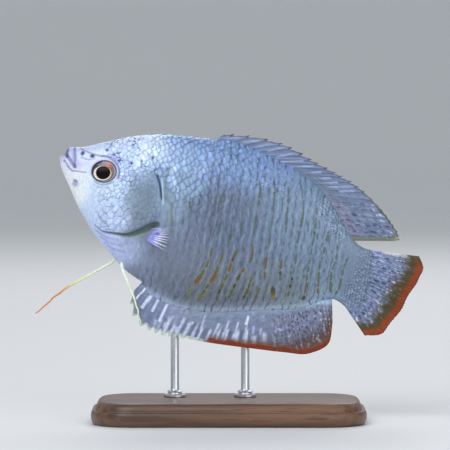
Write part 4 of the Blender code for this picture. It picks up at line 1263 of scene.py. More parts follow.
def scale_shapes(column, row, shoulder, calm, draw):
    """Each scale's points as columns, rows, lift and brightness with painted glints, and their shares across
    and along it.
    """
    b = 1 - (1 - np.linspace(0, 1, SCALE_ALONG)) ** 1.5
    a, b = np.meshgrid(np.linspace(-1, 1, SCALE_ACROSS), b)
    disorder = 0.5 + 0.6 * shoulder
    along = b * (1 - (0.07 + 0.12 * shoulder) * a * a * b) * SCALE_LENGTH * (1 + 0.09 * disorder * draw[5])
    across = a * (1 - (0.04 + 0.18 * shoulder) * b ** 3) * SCALE_HALF_ROWS * (1 + 0.12 * disorder * draw[6])
    turn = 0.30 * disorder * draw[7]
    c = each(column) + 0.12 * disorder * draw[0] + along * np.cos(turn) - 0.3 * across * np.sin(turn)
    r = each(row) + 0.2 * disorder * draw[1] + across * np.cos(turn) + 0.9 * along * np.sin(turn)
    tip = (0.10 + 0.10 * shoulder + 0.015 * draw[3]) * (1 - 0.55 * calm)
    lift = (tip + SCALE_ROOT_SINK) * b - SCALE_ROOT_SINK
    lift = lift + (0.02 + 0.05 * shoulder) * (1 - a * a) * b * (1 - calm) + 0.015 * disorder * draw[2] * a
    edge = smooth_step(0.8, 1.0, b) + 0.8 * smooth_step(0.72, 1.0, np.abs(a)) * smooth_step(0.3, 0.6, b)
    # Painted highlights: a lighter patch in the middle of each scale's open part, with strong random glints
    # on the shoulder's scales
    painted_highlight = bell((b - 0.74 + 0.06 * a) / 0.16) * (1 - a ** 4)
    glint = np.clip(draw[4], 0, 1) ** 1.5
    gain = 1 + painted_highlight * (0.06 * (1 - calm) + shoulder * (0.12 + 0.45 * glint))
    gain = gain - np.clip(edge, 0, 1) * (0.07 + 0.31 * shoulder) * (1 - calm) * (1 + 0.8 * a * draw[2])
    return c, r, lift, gain * (1 + (0.05 + 0.06 * shoulder) * draw[8]), a, b


def make_scales(word, lattice, side, material):
    """Coats of overlapping scales on one side. Each is a thin curved plate with its root under the skin."""
    column, row = scale_roots(lattice)
    rng = np.random.default_rng(SCALE_SEEDS[word])
    count = len(column)
    mid_x, mid_arc = lattice.forward(column + SCALE_LENGTH * 0.6, row)
    mid_z = bare_points(mid_x, lattice.angle_at(mid_x, mid_arc)[0])[:, 2]
    shoulder, calm = (each(v) for v in scale_style(mid_x, mid_z))
    draw = [each(rng.uniform(-1, 1, count)) for _ in range(SCALE_DRAWS)]
    c, r, lift, gain, a, b = scale_shapes(column, row, shoulder, calm, draw)

    def with_bottom(grid, bottom):
        top = np.broadcast_to(grid, c.shape).reshape(count, -1)
        return np.concatenate([top, bottom.reshape(count, 1)], axis=1)

    middle = SCALE_ALONG * 6 // 10, SCALE_ACROSS // 2
    c_all = with_bottom(c, c[:, middle[0], middle[1]])
    r_all = with_bottom(r, r[:, middle[0], middle[1]])
    lift = with_bottom(lift, np.full(count, -2.2 * SCALE_ROOT_SINK))
    gain = with_bottom(gain, np.ones(count))
    x, arc = lattice.forward(c_all, r_all)
    x = np.minimum(x, SKIN_END)
    angle, _ = lattice.angle_at(x, arc)
    points = skin_points(x, angle, lift)
    root_x, root_arc = lattice.forward(column, row)
    root = unwrapped(root_x, side * lattice.angle_at(root_x, root_arc)[0])
    patch = np.stack([b - 0.5, a / 2], axis=-1).reshape(-1, 2) * PATCH
    bake = root[:, None] + np.vstack([patch, patch.mean(axis=0)])[None]
    per = SCALE_ACROSS * SCALE_ALONG
    one = grid_faces(SCALE_ALONG, SCALE_ACROSS), fan(grid_rim(SCALE_ALONG, SCALE_ACROSS), per)[:, ::-1]
    for number, part in enumerate(np.array_split(np.arange(count), SCALE_SETS), 1):
        build(
            f"scales_{word}_{number}", points[part].reshape(-1, 3) * (1.0, side, 1.0),
            [repeated(group, len(part), per + 1, side < 0) for group in one], material,
            maps={"OFBake": bake[part].reshape(-1, 2),
                  "Lattice": np.stack([c_all, r_all], axis=-1)[part].reshape(-1, 2)},
            paints=skin_layers(points[part], gain[part]), crease=60,
        )


# Fins
SUB_RAYS = np.array((-0.5, -0.38, -0.26, -0.16, -0.08, 0.0, 0.08, 0.16, 0.26, 0.38))


class FinGrid:
    """Fine grid over a fin, with the tones painted on it.

    k counts rays from the fin's front, f is the offset from the nearest ray in ray pitches, u runs from the
    fin's front to its rear, t from the root to the tip, and root and edge are the distances from there in
    millimetres. Crowding above 0 sets the rays wider apart at the front than at the rear.
    """

    def __init__(self, feet, tips, rays, rows, tooth, sink=FIN_SINK, crowding=0.0):
        k = np.append((np.arange(rays)[:, None] + 0.5 + SUB_RAYS[None, :]).ravel(), rays)
        f = np.append(np.tile(SUB_RAYS, rays), 0.5)
        warped = (k + 0.10 * np.sin(2.1 * k + 1.3) + 0.06 * np.sin(5.7 * k + 0.4)) / rays
        u = np.clip(warped * (1 + crowding * (1 - warped)), 0, 1)
        foot, tip = feet(u), tips(u)
        length = np.linalg.norm(tip - foot, axis=1)
        way = (tip - foot) / length[:, None]
        t = np.linspace(0, 1, rows)[:, None]
        reach = length + sink + tooth(u, f) * t ** 3
        self.rows, self.columns = rows, len(k)
        self.k, self.f, self.u, self.t = np.broadcast_arrays(k, f, u, t)
        self.flat = foot - way * sink + way * (reach * t)[..., None]
        self.root = reach * t - sink
        self.edge = reach * (1 - t)
        step = len(SUB_RAYS)
        pitch = np.linalg.norm(self.flat[:, step:] - self.flat[:, :-step], axis=2)
        self.pitch = np.concatenate([pitch, np.repeat(pitch[:, -1:], step, axis=1)], axis=1)
        body = np.stack([self.flat[..., 0], 0 * self.root, self.flat[..., 1]], axis=-1)
        self.tone = body_tone(body.reshape(-1, 3)).reshape(body.shape)

    def lay(self, mask, shade):
        self.tone = lay(self.tone, mask, shade)

    def ridge(self, height, width, split=2.0):
        """Thickness that the rays add to the web. Past the share split a ray runs on as two branches."""
        apart = 0.22 * self.pitch * smooth_step(split, split + 0.35, self.t)
        across = self.f * self.pitch
        away = np.minimum(np.abs(across - apart), np.abs(across + apart))
        return height * (1 - 0.55 * self.t) * bell(away, width * (1 - 0.35 * self.t))

    def by_ray(self, seed):
        """A random share from 0 to 1 for each ray."""
        ray = np.floor(self.k + 1e-6)
        return np.abs(np.sin(ray * 12.9898 + seed * 4.1) * 43758.5453) % 1.0

    def dashes(self, length, seed, fill=0.5, offset=0.0, width=0.24):
        """Dashes along each ray, staggered from ray to ray, from 0 to 1."""
        ray = np.floor(self.k + 1e-6)
        bend = wobble(self.flat[..., 0], self.flat[..., 1], 3.0, int(seed))
        shift = np.abs(np.sin(ray * 12.9898 + seed) * 43758.5453) % 1.0
        position = (self.root + 0.35 * bend) / length + shift
        cell = np.floor(position)
        chance = np.abs(np.sin(cell * 78.233 + ray * 37.719 + seed) * 43758.5453) % 1.0
        inside = position - cell
        end = 0.45 + 0.35 * chance
        on = smooth_step(0.0, 0.15, inside) * smooth_step(end + 0.15, end, inside)
        aside = self.f - offset + 0.16 * bend + 0.3 * (chance - 0.5)
        return on * bell(aside, width) * smooth_step(0, 0.25, fill - chance)

    def lay_dashes(self, mask, table):
        """Paints sets of dashes: the strength, shape and colour of each."""
        for strength, shape, shade in table:
            self.lay(strength * mask * self.dashes(*shape), shade)

    def streaks(self, table):
        """Paints streaks: the pixels of each, half its width in pixels, its strength and colour."""
        for line, half, strength, shade in table:
            away, _, _ = nearest(in_fish(line, middle=True), self.flat[..., 0], self.flat[..., 1],
                                 3 * half * PIXEL)
            self.lay(strength * smooth_step(1.35 * half * PIXEL, 0.65 * half * PIXEL, away), shade)


def build_fin(name, grid, place_fin, out, web, ridge, alpha, material, node_name):
    """A closed fin: a web and rays with a near and a far face, joined round the rim."""
    half = (web + ridge) / 2
    middle = place_fin(grid.flat, grid)
    near, far = middle - out * half[..., None], middle + out * half[..., None]
    points = np.vstack([near.reshape(-1, 3), far.reshape(-1, 3)])
    rows, columns = grid.rows, grid.columns
    size = rows * columns
    rim = grid_rim(rows, columns)
    after = np.roll(rim, -1)
    front = grid_faces(rows, columns)
    faces = np.vstack([front, front[:, ::-1] + size, np.column_stack([rim, rim + size, after + size, after])])
    first = points[faces[0]]
    if np.cross(first[1] - first[0], first[2] - first[0]) @ out > 0:
        faces = faces[:, ::-1]
    rays_map = np.stack([grid.k / 10, grid.root / 10], axis=-1).reshape(-1, 2)
    marks = np.repeat(np.clip(alpha, 0, 1).reshape(-1, 1), 3, axis=1)
    return build(
        name, points, faces, material, (node_name,),
        maps={"Rays": np.vstack([rays_map, rays_map + (0.0, 5.0)])},
        paints={"tone": np.vstack([grid.tone.reshape(-1, 3)] * 2), "marks": np.vstack([marks] * 2)},
    )


def fin_material():
    material, tree, shader = painted_material("fin_paint", (1.0, (9.0, 14.0, 1.0)), 0.12, (0.42, 0.54),
                                              (0.05, 0.3), "Rays")
    shader.inputs["Specular IOR Level"].default_value = 0.3
    tree.links.new(paint_layer(tree, "marks")[1][0], shader.inputs["Alpha"])
    return material


def median_feet(table, column):
    first, last = table[0][0], table[-1][0]

    def feet(u):
        x = first + (last - first) * u
        return np.column_stack([x, section(x)[column]])

    return feet


def ray_tips(table):
    """A function from 0 to 1 along a fin's root to the tips of its rays."""
    table = np.asarray(table, float)
    knots = (table[:, 0] - table[0, 0]) / (table[-1, 0] - table[0, 0])
    return lambda u: np.column_stack([curve_through(knots, table[:, k], u) for k in (1, 2)])


def median_place(wave):
    """Bends a fin of the middle plane in a few waves, with its rays out of line by turns."""
    def place_fin(flat, grid):
        y = wave * grid.t ** 2 * np.sin(2 * math.pi * (WAVES * grid.u + WAVE_START))
        y = y + 0.05 * grid.t * np.cos(2 * math.pi * grid.f) * np.where(np.floor(grid.k) % 2 > 0, 1, -1)
        return np.stack([flat[..., 0], y, flat[..., 1]], axis=-1)

    return place_fin


ACROSS = np.array((0.0, 1.0, 0.0))

# Sets of dashes on the fins: strength, shape and colour.
# A shape is a dash's length, a seed, the share of places filled, the offset from the ray and the width
DORSAL_DASHES = (
    (0.5, (1.6, 3.0, 0.9, 0.0, 0.2), (160, 164, 192)),
    (0.85, (1.9, 1.0, 0.95, 0.28, 0.17), (62, 62, 94)),
    (0.7, (1.5, 4.0, 0.85, -0.24, 0.14), (70, 70, 100)),
)
ANAL_LOBE_DASHES = (
    (0.6, (1.3, 11.0, 0.8, 0.1, 0.24), (140, 134, 156)),
    (0.9, (1.1, 3.0, 0.95, 0.3, 0.17), (48, 44, 66)),
    (0.8, (0.9, 5.0, 0.85, -0.28, 0.15), (54, 48, 70)),
    (0.9, (0.75, 4.0, 0.6, 0.02, 0.14), (200, 190, 202)),
)
CAUDAL_DASHES = (
    (0.6, (1.7, 6.0, 0.9, 0.0, 0.2), (176, 184, 216)),
    (0.95, (1.6, 5.0, 0.95, 0.27, 0.23), (46, 50, 84)),
    (0.8, (1.2, 8.0, 0.85, -0.22, 0.15), (58, 60, 94)),
)

# Streaks on the fins: pixels of each, half its width in pixels, strength and colour
DORSAL_STREAKS = (
    (((226, 138.5), (239, 137.5)), 0.8, 0.7, (164, 178, 210)),
    (((244, 142.0), (258, 140.5)), 0.8, 0.7, (158, 172, 206)),
    (((256, 147.0), (271, 143.5)), 0.8, 0.7, (156, 168, 204)),
    (((268, 151.0), (283, 147.5)), 0.8, 0.8, (160, 170, 210)),
    (((277, 157.0), (293, 153.5)), 0.8, 0.8, (164, 172, 214)),
    (((279, 161.8), (303, 161.0)), 0.8, 0.8, (166, 174, 216)),
    (((291, 167.0), (313, 166.0)), 0.8, 0.8, (170, 178, 220)),
    (((305, 173.0), (321, 172.0)), 0.8, 0.8, (172, 182, 222)),
    (((314, 178.6), (330, 178.0)), 0.8, 0.8, (172, 182, 222)),
    (((318, 183.0), (337, 182.4)), 0.8, 0.8, (172, 182, 222)),
    (((328, 187.0), (353, 186.6)), 0.8, 0.7, (172, 180, 220)),
    (((340, 191.4), (354, 191.0)), 0.8, 0.7, (170, 178, 218)),
)
DORSAL_WEDGE = ((296, 172), (318, 183), (330, 196), (340, 212), (338, 220))
ANAL_STREAKS = (
    (((147.4, 285.9), (142.0, 292.0), (136.5, 298.0)), 1.0, 1.0, (228, 234, 250)),
    (((156.3, 289.4), (149.0, 298.5), (142.2, 307.1)), 1.7, 1.0, (214, 222, 248)),
    (((161.2, 293.9), (157.0, 302.0), (152.6, 310.6)), 1.5, 1.0, (208, 216, 246)),
    (((170.1, 298.0), (165.0, 309.0), (159.4, 320.9)), 1.2, 1.0, (212, 220, 248)),
    (((173.8, 316.0), (169.0, 322.6)), 0.8, 0.7, (180, 188, 226)),
    (((155.5, 321.0), (154.5, 324.5)), 1.4, 0.8, (190, 196, 236)),
    (((165.0, 324.0), (164.2, 327.0)), 1.5, 0.8, (190, 196, 236)),
    (((176.6, 328.0), (175.4, 331.0)), 1.5, 0.8, (190, 196, 236)),
    (((193.6, 333.0), (192.4, 336.5)), 1.5, 0.8, (190, 196, 236)),
    (((183.3, 320.0), (183.0, 321.0)), 1.0, 0.9, (206, 212, 244)),
    (((192.7, 322.8), (192.4, 323.8)), 1.0, 0.9, (206, 212, 244)),
    (((205.0, 316.0), (200.5, 330.0)), 0.9, 0.8, (186, 194, 234)),
    (((219.0, 324.0), (212.5, 337.0)), 1.0, 0.9, (200, 208, 240)),
    (((228.5, 322.0), (222.5, 338.0)), 1.0, 0.9, (200, 208, 240)),
    (((238.5, 322.5), (233.0, 339.0)), 1.0, 0.9, (196, 204, 240)),
    (((248.2, 316.8), (246.4, 324.0)), 1.3, 1.0, (224, 230, 250)),
    (((247.0, 326.0), (243.5, 339.0)), 0.9, 0.8, (186, 192, 236)),
    (((253.8, 327.0), (253.0, 332.5)), 1.3, 0.9, (176, 178, 236)),
    (((261.0, 329.0), (260.2, 334.0)), 1.3, 0.9, (176, 178, 236)),
    (((276.2, 327.0), (275.4, 332.5)), 1.4, 0.9, (176, 178, 236)),
    (((283.2, 328.0), (282.4, 333.0)), 1.2, 0.9, (170, 172, 228)),
    (((291.2, 333.0), (290.4, 338.0)), 1.2, 0.9, (176, 180, 232)),
    (((296.6, 328.0), (296.0, 333.0)), 1.2, 0.9, (170, 172, 226)),
)


def make_dorsal(material):
    """The back fin: pale streaks in front, rows of dashes on its rear, and a dark margin."""
    def tooth(u, f):
        spiny = smooth_step(0.72, 0.58, u)
        spine = 0.75 * bell(f + 0.03, 0.13) - 0.35 * smooth_step(0.02, 0.3, f)
        return spiny * spine + 0.2 * (1 - spiny) * bell(f, 0.2)

    grid = FinGrid(median_feet(DORSAL_RAYS, 0), ray_tips(DORSAL_RAYS), DORSAL_RAY_COUNT, 70, tooth,
                   crowding=0.35)
    u, t, f, edge, root = grid.u, grid.t, grid.f, grid.edge, grid.root
    x, z = grid.flat[..., 0], grid.flat[..., 1]
    # Root and margin, then the streaks of the front, with a painted shadow beside each ray
    grid.lay(0.9 * smooth_step(0.0, 1.6, root), (108, 124, 154))
    grid.lay(0.5 * smooth_step(1.6, 3.4, root) * smooth_step(3.0, 1.2, edge), (118, 130, 166))
    rear = smooth_step(0.66, 0.8, u)
    streak = smooth_step(0.3, 1.4, root) * smooth_step(0.2, 0.9, edge)
    # A painted shadow along one side of each ray, and a paler line on the ray itself
    grid.lay(0.6 * streak * (1 - rear) * bell(f - 0.3, 0.15), (74, 88, 116))
    grid.lay(0.5 * streak * (1 - rear) * bell(f + 0.02, 0.14), (146, 162, 196))
    grid.streaks(DORSAL_STREAKS)
    wedge, _, _ = nearest(in_fish(DORSAL_WEDGE, middle=True), x, z, 4.0)
    grid.lay(0.8 * smooth_step(1.7, 0.7, wedge), (106, 124, 146))
    # The rear
    low = smooth_step(4.6, 1.2, root)
    grid.lay(0.6 * rear * low, (136, 132, 156))
    grid.lay_dashes(rear, DORSAL_DASHES)
    grid.lay(0.9 * rear * smooth_step(4.4, 2.0, edge) * grid.dashes(0.95, 2.0, 0.6, 0.0, 0.13),
             (212, 220, 236))
    # Tip and margin
    tip = smooth_step(0.95, 0.99, u) + smooth_step(71.0, 72.8, x)
    grid.lay(0.85 * tip, (120, 128, 96))
    grid.lay(0.9 * rear * smooth_step(0.55, 0.2, edge), (78, 92, 54))
    dark = smooth_step(0.9, 0.25, edge) * (0.35 + 0.65 * bell(f + 0.03, 0.16))
    grid.lay(0.95 * dark * (1 - 0.7 * rear), (58, 72, 42))
    clear = smooth_step(0.3, 0.8, np.abs(2 * f)) * smooth_step(1.2, 0.2, edge)
    build_fin("dorsal_fin_rayed", grid, median_place(0.3), ACROSS, 0.10 + 0.10 * (1 - t),
              grid.ridge(0.2, 0.14), 1 - 0.35 * clear - 0.3 * tip, material, "dorsal_fin")


def make_anal(material):
    """The belly fin: pale spines in front, dashes in the middle, a dark rear lobe and a red margin."""
    def tooth(u, f):
        spiny = smooth_step(0.42, 0.28, u)
        notch = smooth_step(0.12, 0.42, np.abs(f))
        return 0.08 + 0.4 * spiny * (bell(f, 0.2) - notch) - 0.2 * smooth_step(0.16, 0.06, u) * notch

    grid = FinGrid(median_feet(ANAL_RAYS, 1), ray_tips(ANAL_RAYS), ANAL_RAY_COUNT, 70, tooth, crowding=0.3)
    u, t, f, edge, root = grid.u, grid.t, grid.f, grid.edge, grid.root
    x = grid.flat[..., 0]
    front = smooth_step(34.0, 30.0, x)
    rear = smooth_step(52.0, 58.0, x)
    middle = 1 - front - rear
    # Ground colours
    grid.lay(0.9 * smooth_step(0.6, 3.0, root), (118, 129, 152))
    grid.lay(0.6 * bell((x - 33) / 6) * smooth_step(0.8, 2.4, root), (150, 158, 190))
    grid.lay(0.7 * front * smooth_step(0.6, 1.6, root), (122, 136, 170))
    grid.lay(0.4 * front * bell(np.abs(f) - 0.4, 0.16), (76, 88, 124))
    grid.lay(0.6 * bell((x - 49) / 6) * bell(root - 2.6, 2.2), (128, 144, 180))
    # Pale lines along the rays of the middle, with dark webs between them
    start = 2.4 + 1.9 * grid.by_ray(1.0)
    low = smooth_step(start + 0.3, start - 0.6, edge) * smooth_step(0.1, 0.5, edge)
    aside = np.abs(f + 0.12 * (grid.by_ray(3.0) - 0.5))
    grid.lay((0.5 + 0.5 * grid.by_ray(2.0)) * middle * low * smooth_step(0.2, 0.1, aside), (214, 224, 246))
    grid.lay(0.6 * middle * low * smooth_step(0.3, 0.42, np.abs(f)), (76, 90, 124))
    grid.lay(0.8 * middle * low * grid.dashes(1.3, 6.0, 0.6, -0.34, 0.09), (190, 202, 232))
    grid.lay(0.6 * middle * grid.dashes(1.3, 8.0, 0.5, 0.3, 0.2) * smooth_step(1.0, 2.0, root), (88, 98, 134))
    grid.lay(0.4 * middle * grid.dashes(1.1, 9.0, 0.5, -0.15, 0.2) * smooth_step(1.0, 2.0, root),
             (176, 188, 222))
    grid.streaks(ANAL_STREAKS)
    # The rear lobe
    lobe = rear * smooth_step(0.6, 2.6, root)
    grid.lay(0.6 * lobe, (116, 128, 162))
    grid.lay(0.9 * smooth_step(56.0, 62.5, x) * smooth_step(6.6, 1.8, edge), (88, 66, 50))
    grid.lay(0.7 * smooth_step(47.0, 56.0, x) * smooth_step(3.4, 1.2, edge), (96, 72, 60))
    grid.lay_dashes(lobe, ANAL_LOBE_DASHES)
    # The margin: pale in front, red behind
    grid.lay(0.85 * smooth_step(0.7, 0.25, edge) * smooth_step(43.0, 40.0, x), (198, 214, 190))
    band = 0.95 + 0.12 * np.sin(grid.k * 2.3)
    late = smooth_step(41.5, 44.0, x)
    grid.lay(0.7 * late * smooth_step(2.2, 1.1, edge), (112, 76, 54))
    red = late * smooth_step(band + 0.25, band - 0.25, edge)
    grid.lay(red, (128, 46, 0))
    margin = smooth_step(1.3, 0.2, edge)
    alpha = 1 - 0.55 * margin * (1 - late) * smooth_step(0.1, 0.4, np.abs(f))
    build_fin("anal_fin_rayed", grid, median_place(0.3), ACROSS, 0.10 + 0.12 * (1 - t),
              grid.ridge(0.26, 0.15) * (1 + 0.6 * front), alpha, material, "anal_fin")


def make_caudal(material):
    """The tail fin: rows of dashes between its root and an olive and red edge."""
    first, last = CAUDAL_RAYS[0][0], CAUDAL_RAYS[-1][0]
    back, belly, _, level, _, _ = section(STANDARD_LENGTH)

    def feet(u):
        z = first + (last - first) * u
        reach = np.where(z > level, back - level, level - belly)
        return np.column_stack([STANDARD_LENGTH + TAIL_BULGE * (1 - ((z - level) / reach) ** 2), z])

    def tooth(u, f):
        return 0.06 * np.cos(4 * math.pi * f) + 0.12 * np.sin(23 * u)

    grid = FinGrid(feet, ray_tips(CAUDAL_RAYS), CAUDAL_RAY_COUNT, 84, tooth)
    u, t, f, edge, root = grid.u, grid.t, grid.f, grid.edge, grid.root
    ragged = 0.5 * wobble(grid.flat[..., 0], grid.flat[..., 1], 2.2, 12)
    grid.lay(smooth_step(0.2, 2.4, root), (118, 135, 170))
    # A painted highlight: a pale lavender patch at the top of the fin's root
    grid.lay(0.8 * bell(np.hypot((u - 0.06) / 0.10, (root - 2.0) / 2.2)), (168, 178, 236))
    out = edge + ragged - 0.8 * bell((u - 0.5) / 0.3)
    grid.lay(0.7 * smooth_step(5.6, 3.0, out), (100, 92, 84))
    middle = smooth_step(0.2, 1.6, root + 1.2 * u) * smooth_step(1.4, 2.4, edge)
    grid.lay_dashes(middle, CAUDAL_DASHES)
    far = smooth_step(2.0, 5.0, root) * middle
    grid.lay(0.9 * far * grid.dashes(0.9, 9.0, 0.5, 0.03, 0.15), (214, 208, 224))
    grid.lay(0.9 * smooth_step(0.05, 0.0, u) * smooth_step(3.4, 5.0, root), (226, 224, 226))
    # The edge
    olive = smooth_step(3.9, 2.1, out)
    grid.lay(0.95 * olive, (72, 60, 10))
    grid.lay(0.5 * olive * grid.dashes(1.2, 7.0, 0.5, 0.1, 0.16), (134, 118, 92))
    red = smooth_step(2.0, 1.1, edge + 0.4 * ragged) * smooth_step(0.01, 0.1, u)
    grid.lay(red, (140, 54, 0))
    grid.lay(0.6 * smooth_step(0.5, 0.1, edge) * red, (96, 50, 14))
    build_fin("caudal_fin_rayed", grid, median_place(0.5), ACROSS, 0.12 + 0.16 * (1 - t),
              grid.ridge(0.24, 0.12, 0.3), 1 - 0.12 * olive * smooth_step(0.1, 0.4, np.abs(f)), material,
              "caudal_fin")


def make_pectoral(side, word, material):
    """A clear breast fin with a scaled fleshy root that fans back and out from the flank."""
    out = math.radians(PECTORAL_OUT) * side
    root_y = side * float(half_width(PECTORAL_X, PECTORAL_Z))
    table = np.asarray(PECTORAL_RAYS, float)

    def feet(u):
        return np.column_stack([np.full_like(u, -PECTORAL_ROOT_SINK), PECTORAL_ROOT_HEIGHT * (0.5 - u)])

    def tips(u):
        spread, length = (curve_through(table[:, 0], table[:, k], u) for k in (1, 2))
        return np.column_stack([length * np.cos(np.radians(spread)), length * np.sin(np.radians(spread))])

    def place_fin(flat, grid):
        x, z = flat[..., 0], flat[..., 1]
        y = 0.3 * grid.t ** 2 * np.sin(2 * math.pi * (WAVES * grid.u + WAVE_START))
        turned = (x * math.cos(out) - y * math.sin(out), x * math.sin(out) + y * math.cos(out))
        return np.stack([PECTORAL_X + turned[0], root_y + turned[1], PECTORAL_Z + z], axis=-1)

    grid = FinGrid(feet, tips, PECTORAL_RAY_COUNT, 60, lambda u, f: 0.15 * bell(f, 0.2), sink=0.0)
    u, f, root = grid.u, grid.f, grid.root
    grid.lay(1.0 + 0 * u, (176, 184, 216))
    lobe = smooth_step(4.1, 2.5, root + 1.6 * np.abs(u - 0.5))
    grid.lay(lobe, (150, 156, 232))
    ray = bell(f, 0.2)
    white = smooth_step(1.2, 2.0, root) * smooth_step(5.0, 3.4, root)
    grid.lay(0.95 * white * ray, (240, 242, 252))
    grid.lay(0.5 * white * bell(np.abs(f) - 0.42, 0.12), (110, 116, 186))
    grid.lay(0.9 * bell(np.hypot(root - 1.9, (u - 0.42) * 5), 0.5), (52, 50, 104))
    grid.lay(0.8 * smooth_step(6.0, 8.0, root) * ray, (92, 104, 122))
    far_band = 0.12 * smooth_step(9.0, 11.0, root) * smooth_step(13.0, 12.0, root)
    fade = 0.7 * smooth_step(5.2, 3.4, root) + far_band
    alpha = 0.98 * lobe + fade * bell(f, 0.13) * (1 - lobe) + 0.4 * smooth_step(0.08, 0.0, u) * (root < 5.0)
    build_fin(f"pectoral_fin_{word}_rayed", grid, place_fin, np.array((math.sin(out), -math.cos(out), 0.0)),
              0.06 + 0.5 * smooth_step(3.4, 0.6, root), grid.ridge(0.2, 0.12, 0.45), alpha, material,
              f"pectoral_fin_{word}")


# Eyes, in millimetres from the middle of the opening, level to the rear and upright in the photo's frame
EYE_TURNS = 96
PUPIL = (-0.17, -0.27, 1.55, 1.36)
RING = (-0.33, -0.37, 1.95, 1.5)
IRIS_TOP = 0.16
IRIS_FALL = 0.42
LENS_RISE = 0.24
EYE_SPOTS = (
    (0.10, 0.0, 1.3, 1.3, 0.8, (118, 104, 84)),
    (1.65, -0.1, 0.55, 1.2, 0.85, (134, 116, 80)),
    (-1.9, 1.05, 0.8, 0.75, 1.0, (44, 38, 62)),
    # A dark band across the top of the iris: painted shade under the upper rim of the opening
    (-0.9, 1.75, 0.9, 0.4, 0.8, (70, 58, 76)),
    (-2.35, 0.1, 0.25, 0.8, 0.8, (50, 46, 70)),
    (0.1, -2.0, 1.5, 0.25, 0.7, (74, 80, 104)),
    (1.0, 1.42, 0.66, 0.56, 1.0, (204, 80, 18)),
    (1.0, 1.1, 0.4, 0.26, 1.0, (140, 58, 4)),
    (0.95, 2.02, 0.6, 0.22, 0.6, (216, 140, 130)),
)
IRIS_RINGS = 56
LENS_RINGS = 22


def within(rear, above, oval):
    """Places as shares of an oval: 1 on its rim."""
    x, z, width, height = oval
    return np.hypot((rear - x) / width, (above - z) / height)


def iris_tones(rear, above, share, around):
    """Colours of an iris: spots, grain, violet rim, the pale ring and the pupil."""
    pupil, ring = within(rear, above, PUPIL), within(rear, above, RING)
    grain = 0.5 + 0.5 * np.sin(41 * around + 3 * np.sin(9 * around))
    tone = np.zeros((*share.shape, 3)) + colour(112, 102, 102)
    for x, z, width, tall, strength, shade in EYE_SPOTS:
        tone = lay(tone, strength * bell(within(rear, above, (x, z, width, tall))), shade)
    tone = lay(tone, 0.18 * grain * smooth_step(0.5, 0.9, share), (60, 50, 50))
    tone = lay(tone, 0.8 * bell(share - 0.93, 0.035) * (np.cos(around) > -0.2), (196, 188, 216))
    tone = lay(tone, smooth_step(0.955, 0.99, share), (58, 60, 90))
    pale = np.zeros_like(tone) + colour(244, 230, 222)
    pale = lay(pale, smooth_step(0.2, 0.9, np.cos(around - 0.4)), (190, 172, 110))
    rim = smooth_step(1.05, 0.97, ring)[..., None]
    tone = tone * (1 - rim) + pale * rim
    tone = lay(tone, 0.5 * bell(ring - 1.1, 0.06), (96, 76, 66))
    return lay(tone, smooth_step(1.06, 1.0, pupil), (40, 22, 18))


def eye_piece(side, word, part, spots, material, paints=None):
    """One closed part of an eye. Its spots are rings of places rearward, above and outward."""
    middle, out, level_way, upright = eye_axes(side)
    rear, above, rise = (values[..., None] for values in spots)
    points = (middle + rear * level_way + above * upright + rise * out).reshape(-1, 3)
    faces = grid_faces(len(spots[0]), EYE_TURNS, wrap=True)
    faces = faces if side > 0 else faces[:, ::-1]
    node_name = f"eye_{word}"
    close_ends(build(f"{node_name}_{part}", points, faces, material, (node_name,), paints=paints))


def make_eyes(iris_material, lens_material):
    """Both eyes: an iris with a raised ring and a sunken pupil, and a dark low lens over the pupil."""
    turn = np.linspace(0, 2 * math.pi, EYE_TURNS, endpoint=False)
    share = np.concatenate([np.linspace(0.02, 1.04, IRIS_RINGS), (1.04, 0.5)])
    share, around = np.meshgrid(share, turn, indexing="ij")
    rear, above = EYE_WIDTH * share * np.cos(around), EYE_HEIGHT * share * np.sin(around)
    height = IRIS_TOP - IRIS_FALL * share ** 3
    height = height + 0.07 * bell(within(rear, above, RING) - 0.9, 0.14)
    height = height - 0.2 * smooth_step(1.02, 0.85, within(rear, above, PUPIL))
    height[-2:] = ((-1.2,), (-1.6,))
    tone = iris_tones(rear, above, share, around).reshape(-1, 3)
    lens = np.concatenate([np.linspace(0.02, 1, LENS_RINGS), (0.9, 0.3)])
    lens_rise = IRIS_TOP - 0.06 + LENS_RISE * np.sqrt(np.clip(1 - lens ** 2, 0, 1))
    lens_rise[-2:] = IRIS_TOP - 0.4
    lens_rise = np.repeat(lens_rise[:, None], EYE_TURNS, axis=1)
    size, a = np.meshgrid(lens, turn, indexing="ij")
    ball = PUPIL[0] + PUPIL[2] * size * np.cos(a), PUPIL[1] + PUPIL[3] * size * np.sin(a), lens_rise
    for side, word in ((-1, "left"), (1, "right")):
        eye_piece(side, word, "iris", (rear, above, height), iris_material, {"tone": tone})
        eye_piece(side, word, "lens", ball, lens_material)


def make_lens_material():
    material, tree, shader = new_material("lens_paint")
    fine = noise(tree, where(tree), 900.0)
    paint = mix_colour(tree, fine, colour(14, 8, 10), colour(24, 12, 12))
    dress(tree, shader, paint, map_range(tree, fine, 0.3, 0.7, 0.16, 0.24))
    shader.inputs["Specular IOR Level"].default_value = 0.12
    return material


# Feelers: colours along each, with their share of its length
FEELER_HUES = {
    "right": ((0.0, (240, 246, 244)), (0.3, (232, 244, 214)), (0.5, (232, 236, 160)), (0.66, (226, 146, 66)),
              (1.0, (206, 112, 46))),
    "left": ((0.0, (240, 246, 244)), (0.45, (232, 244, 212)), (1.0, (226, 236, 168))),
}


FEELER_TURNS = 14
FEELER_RINGS = 130


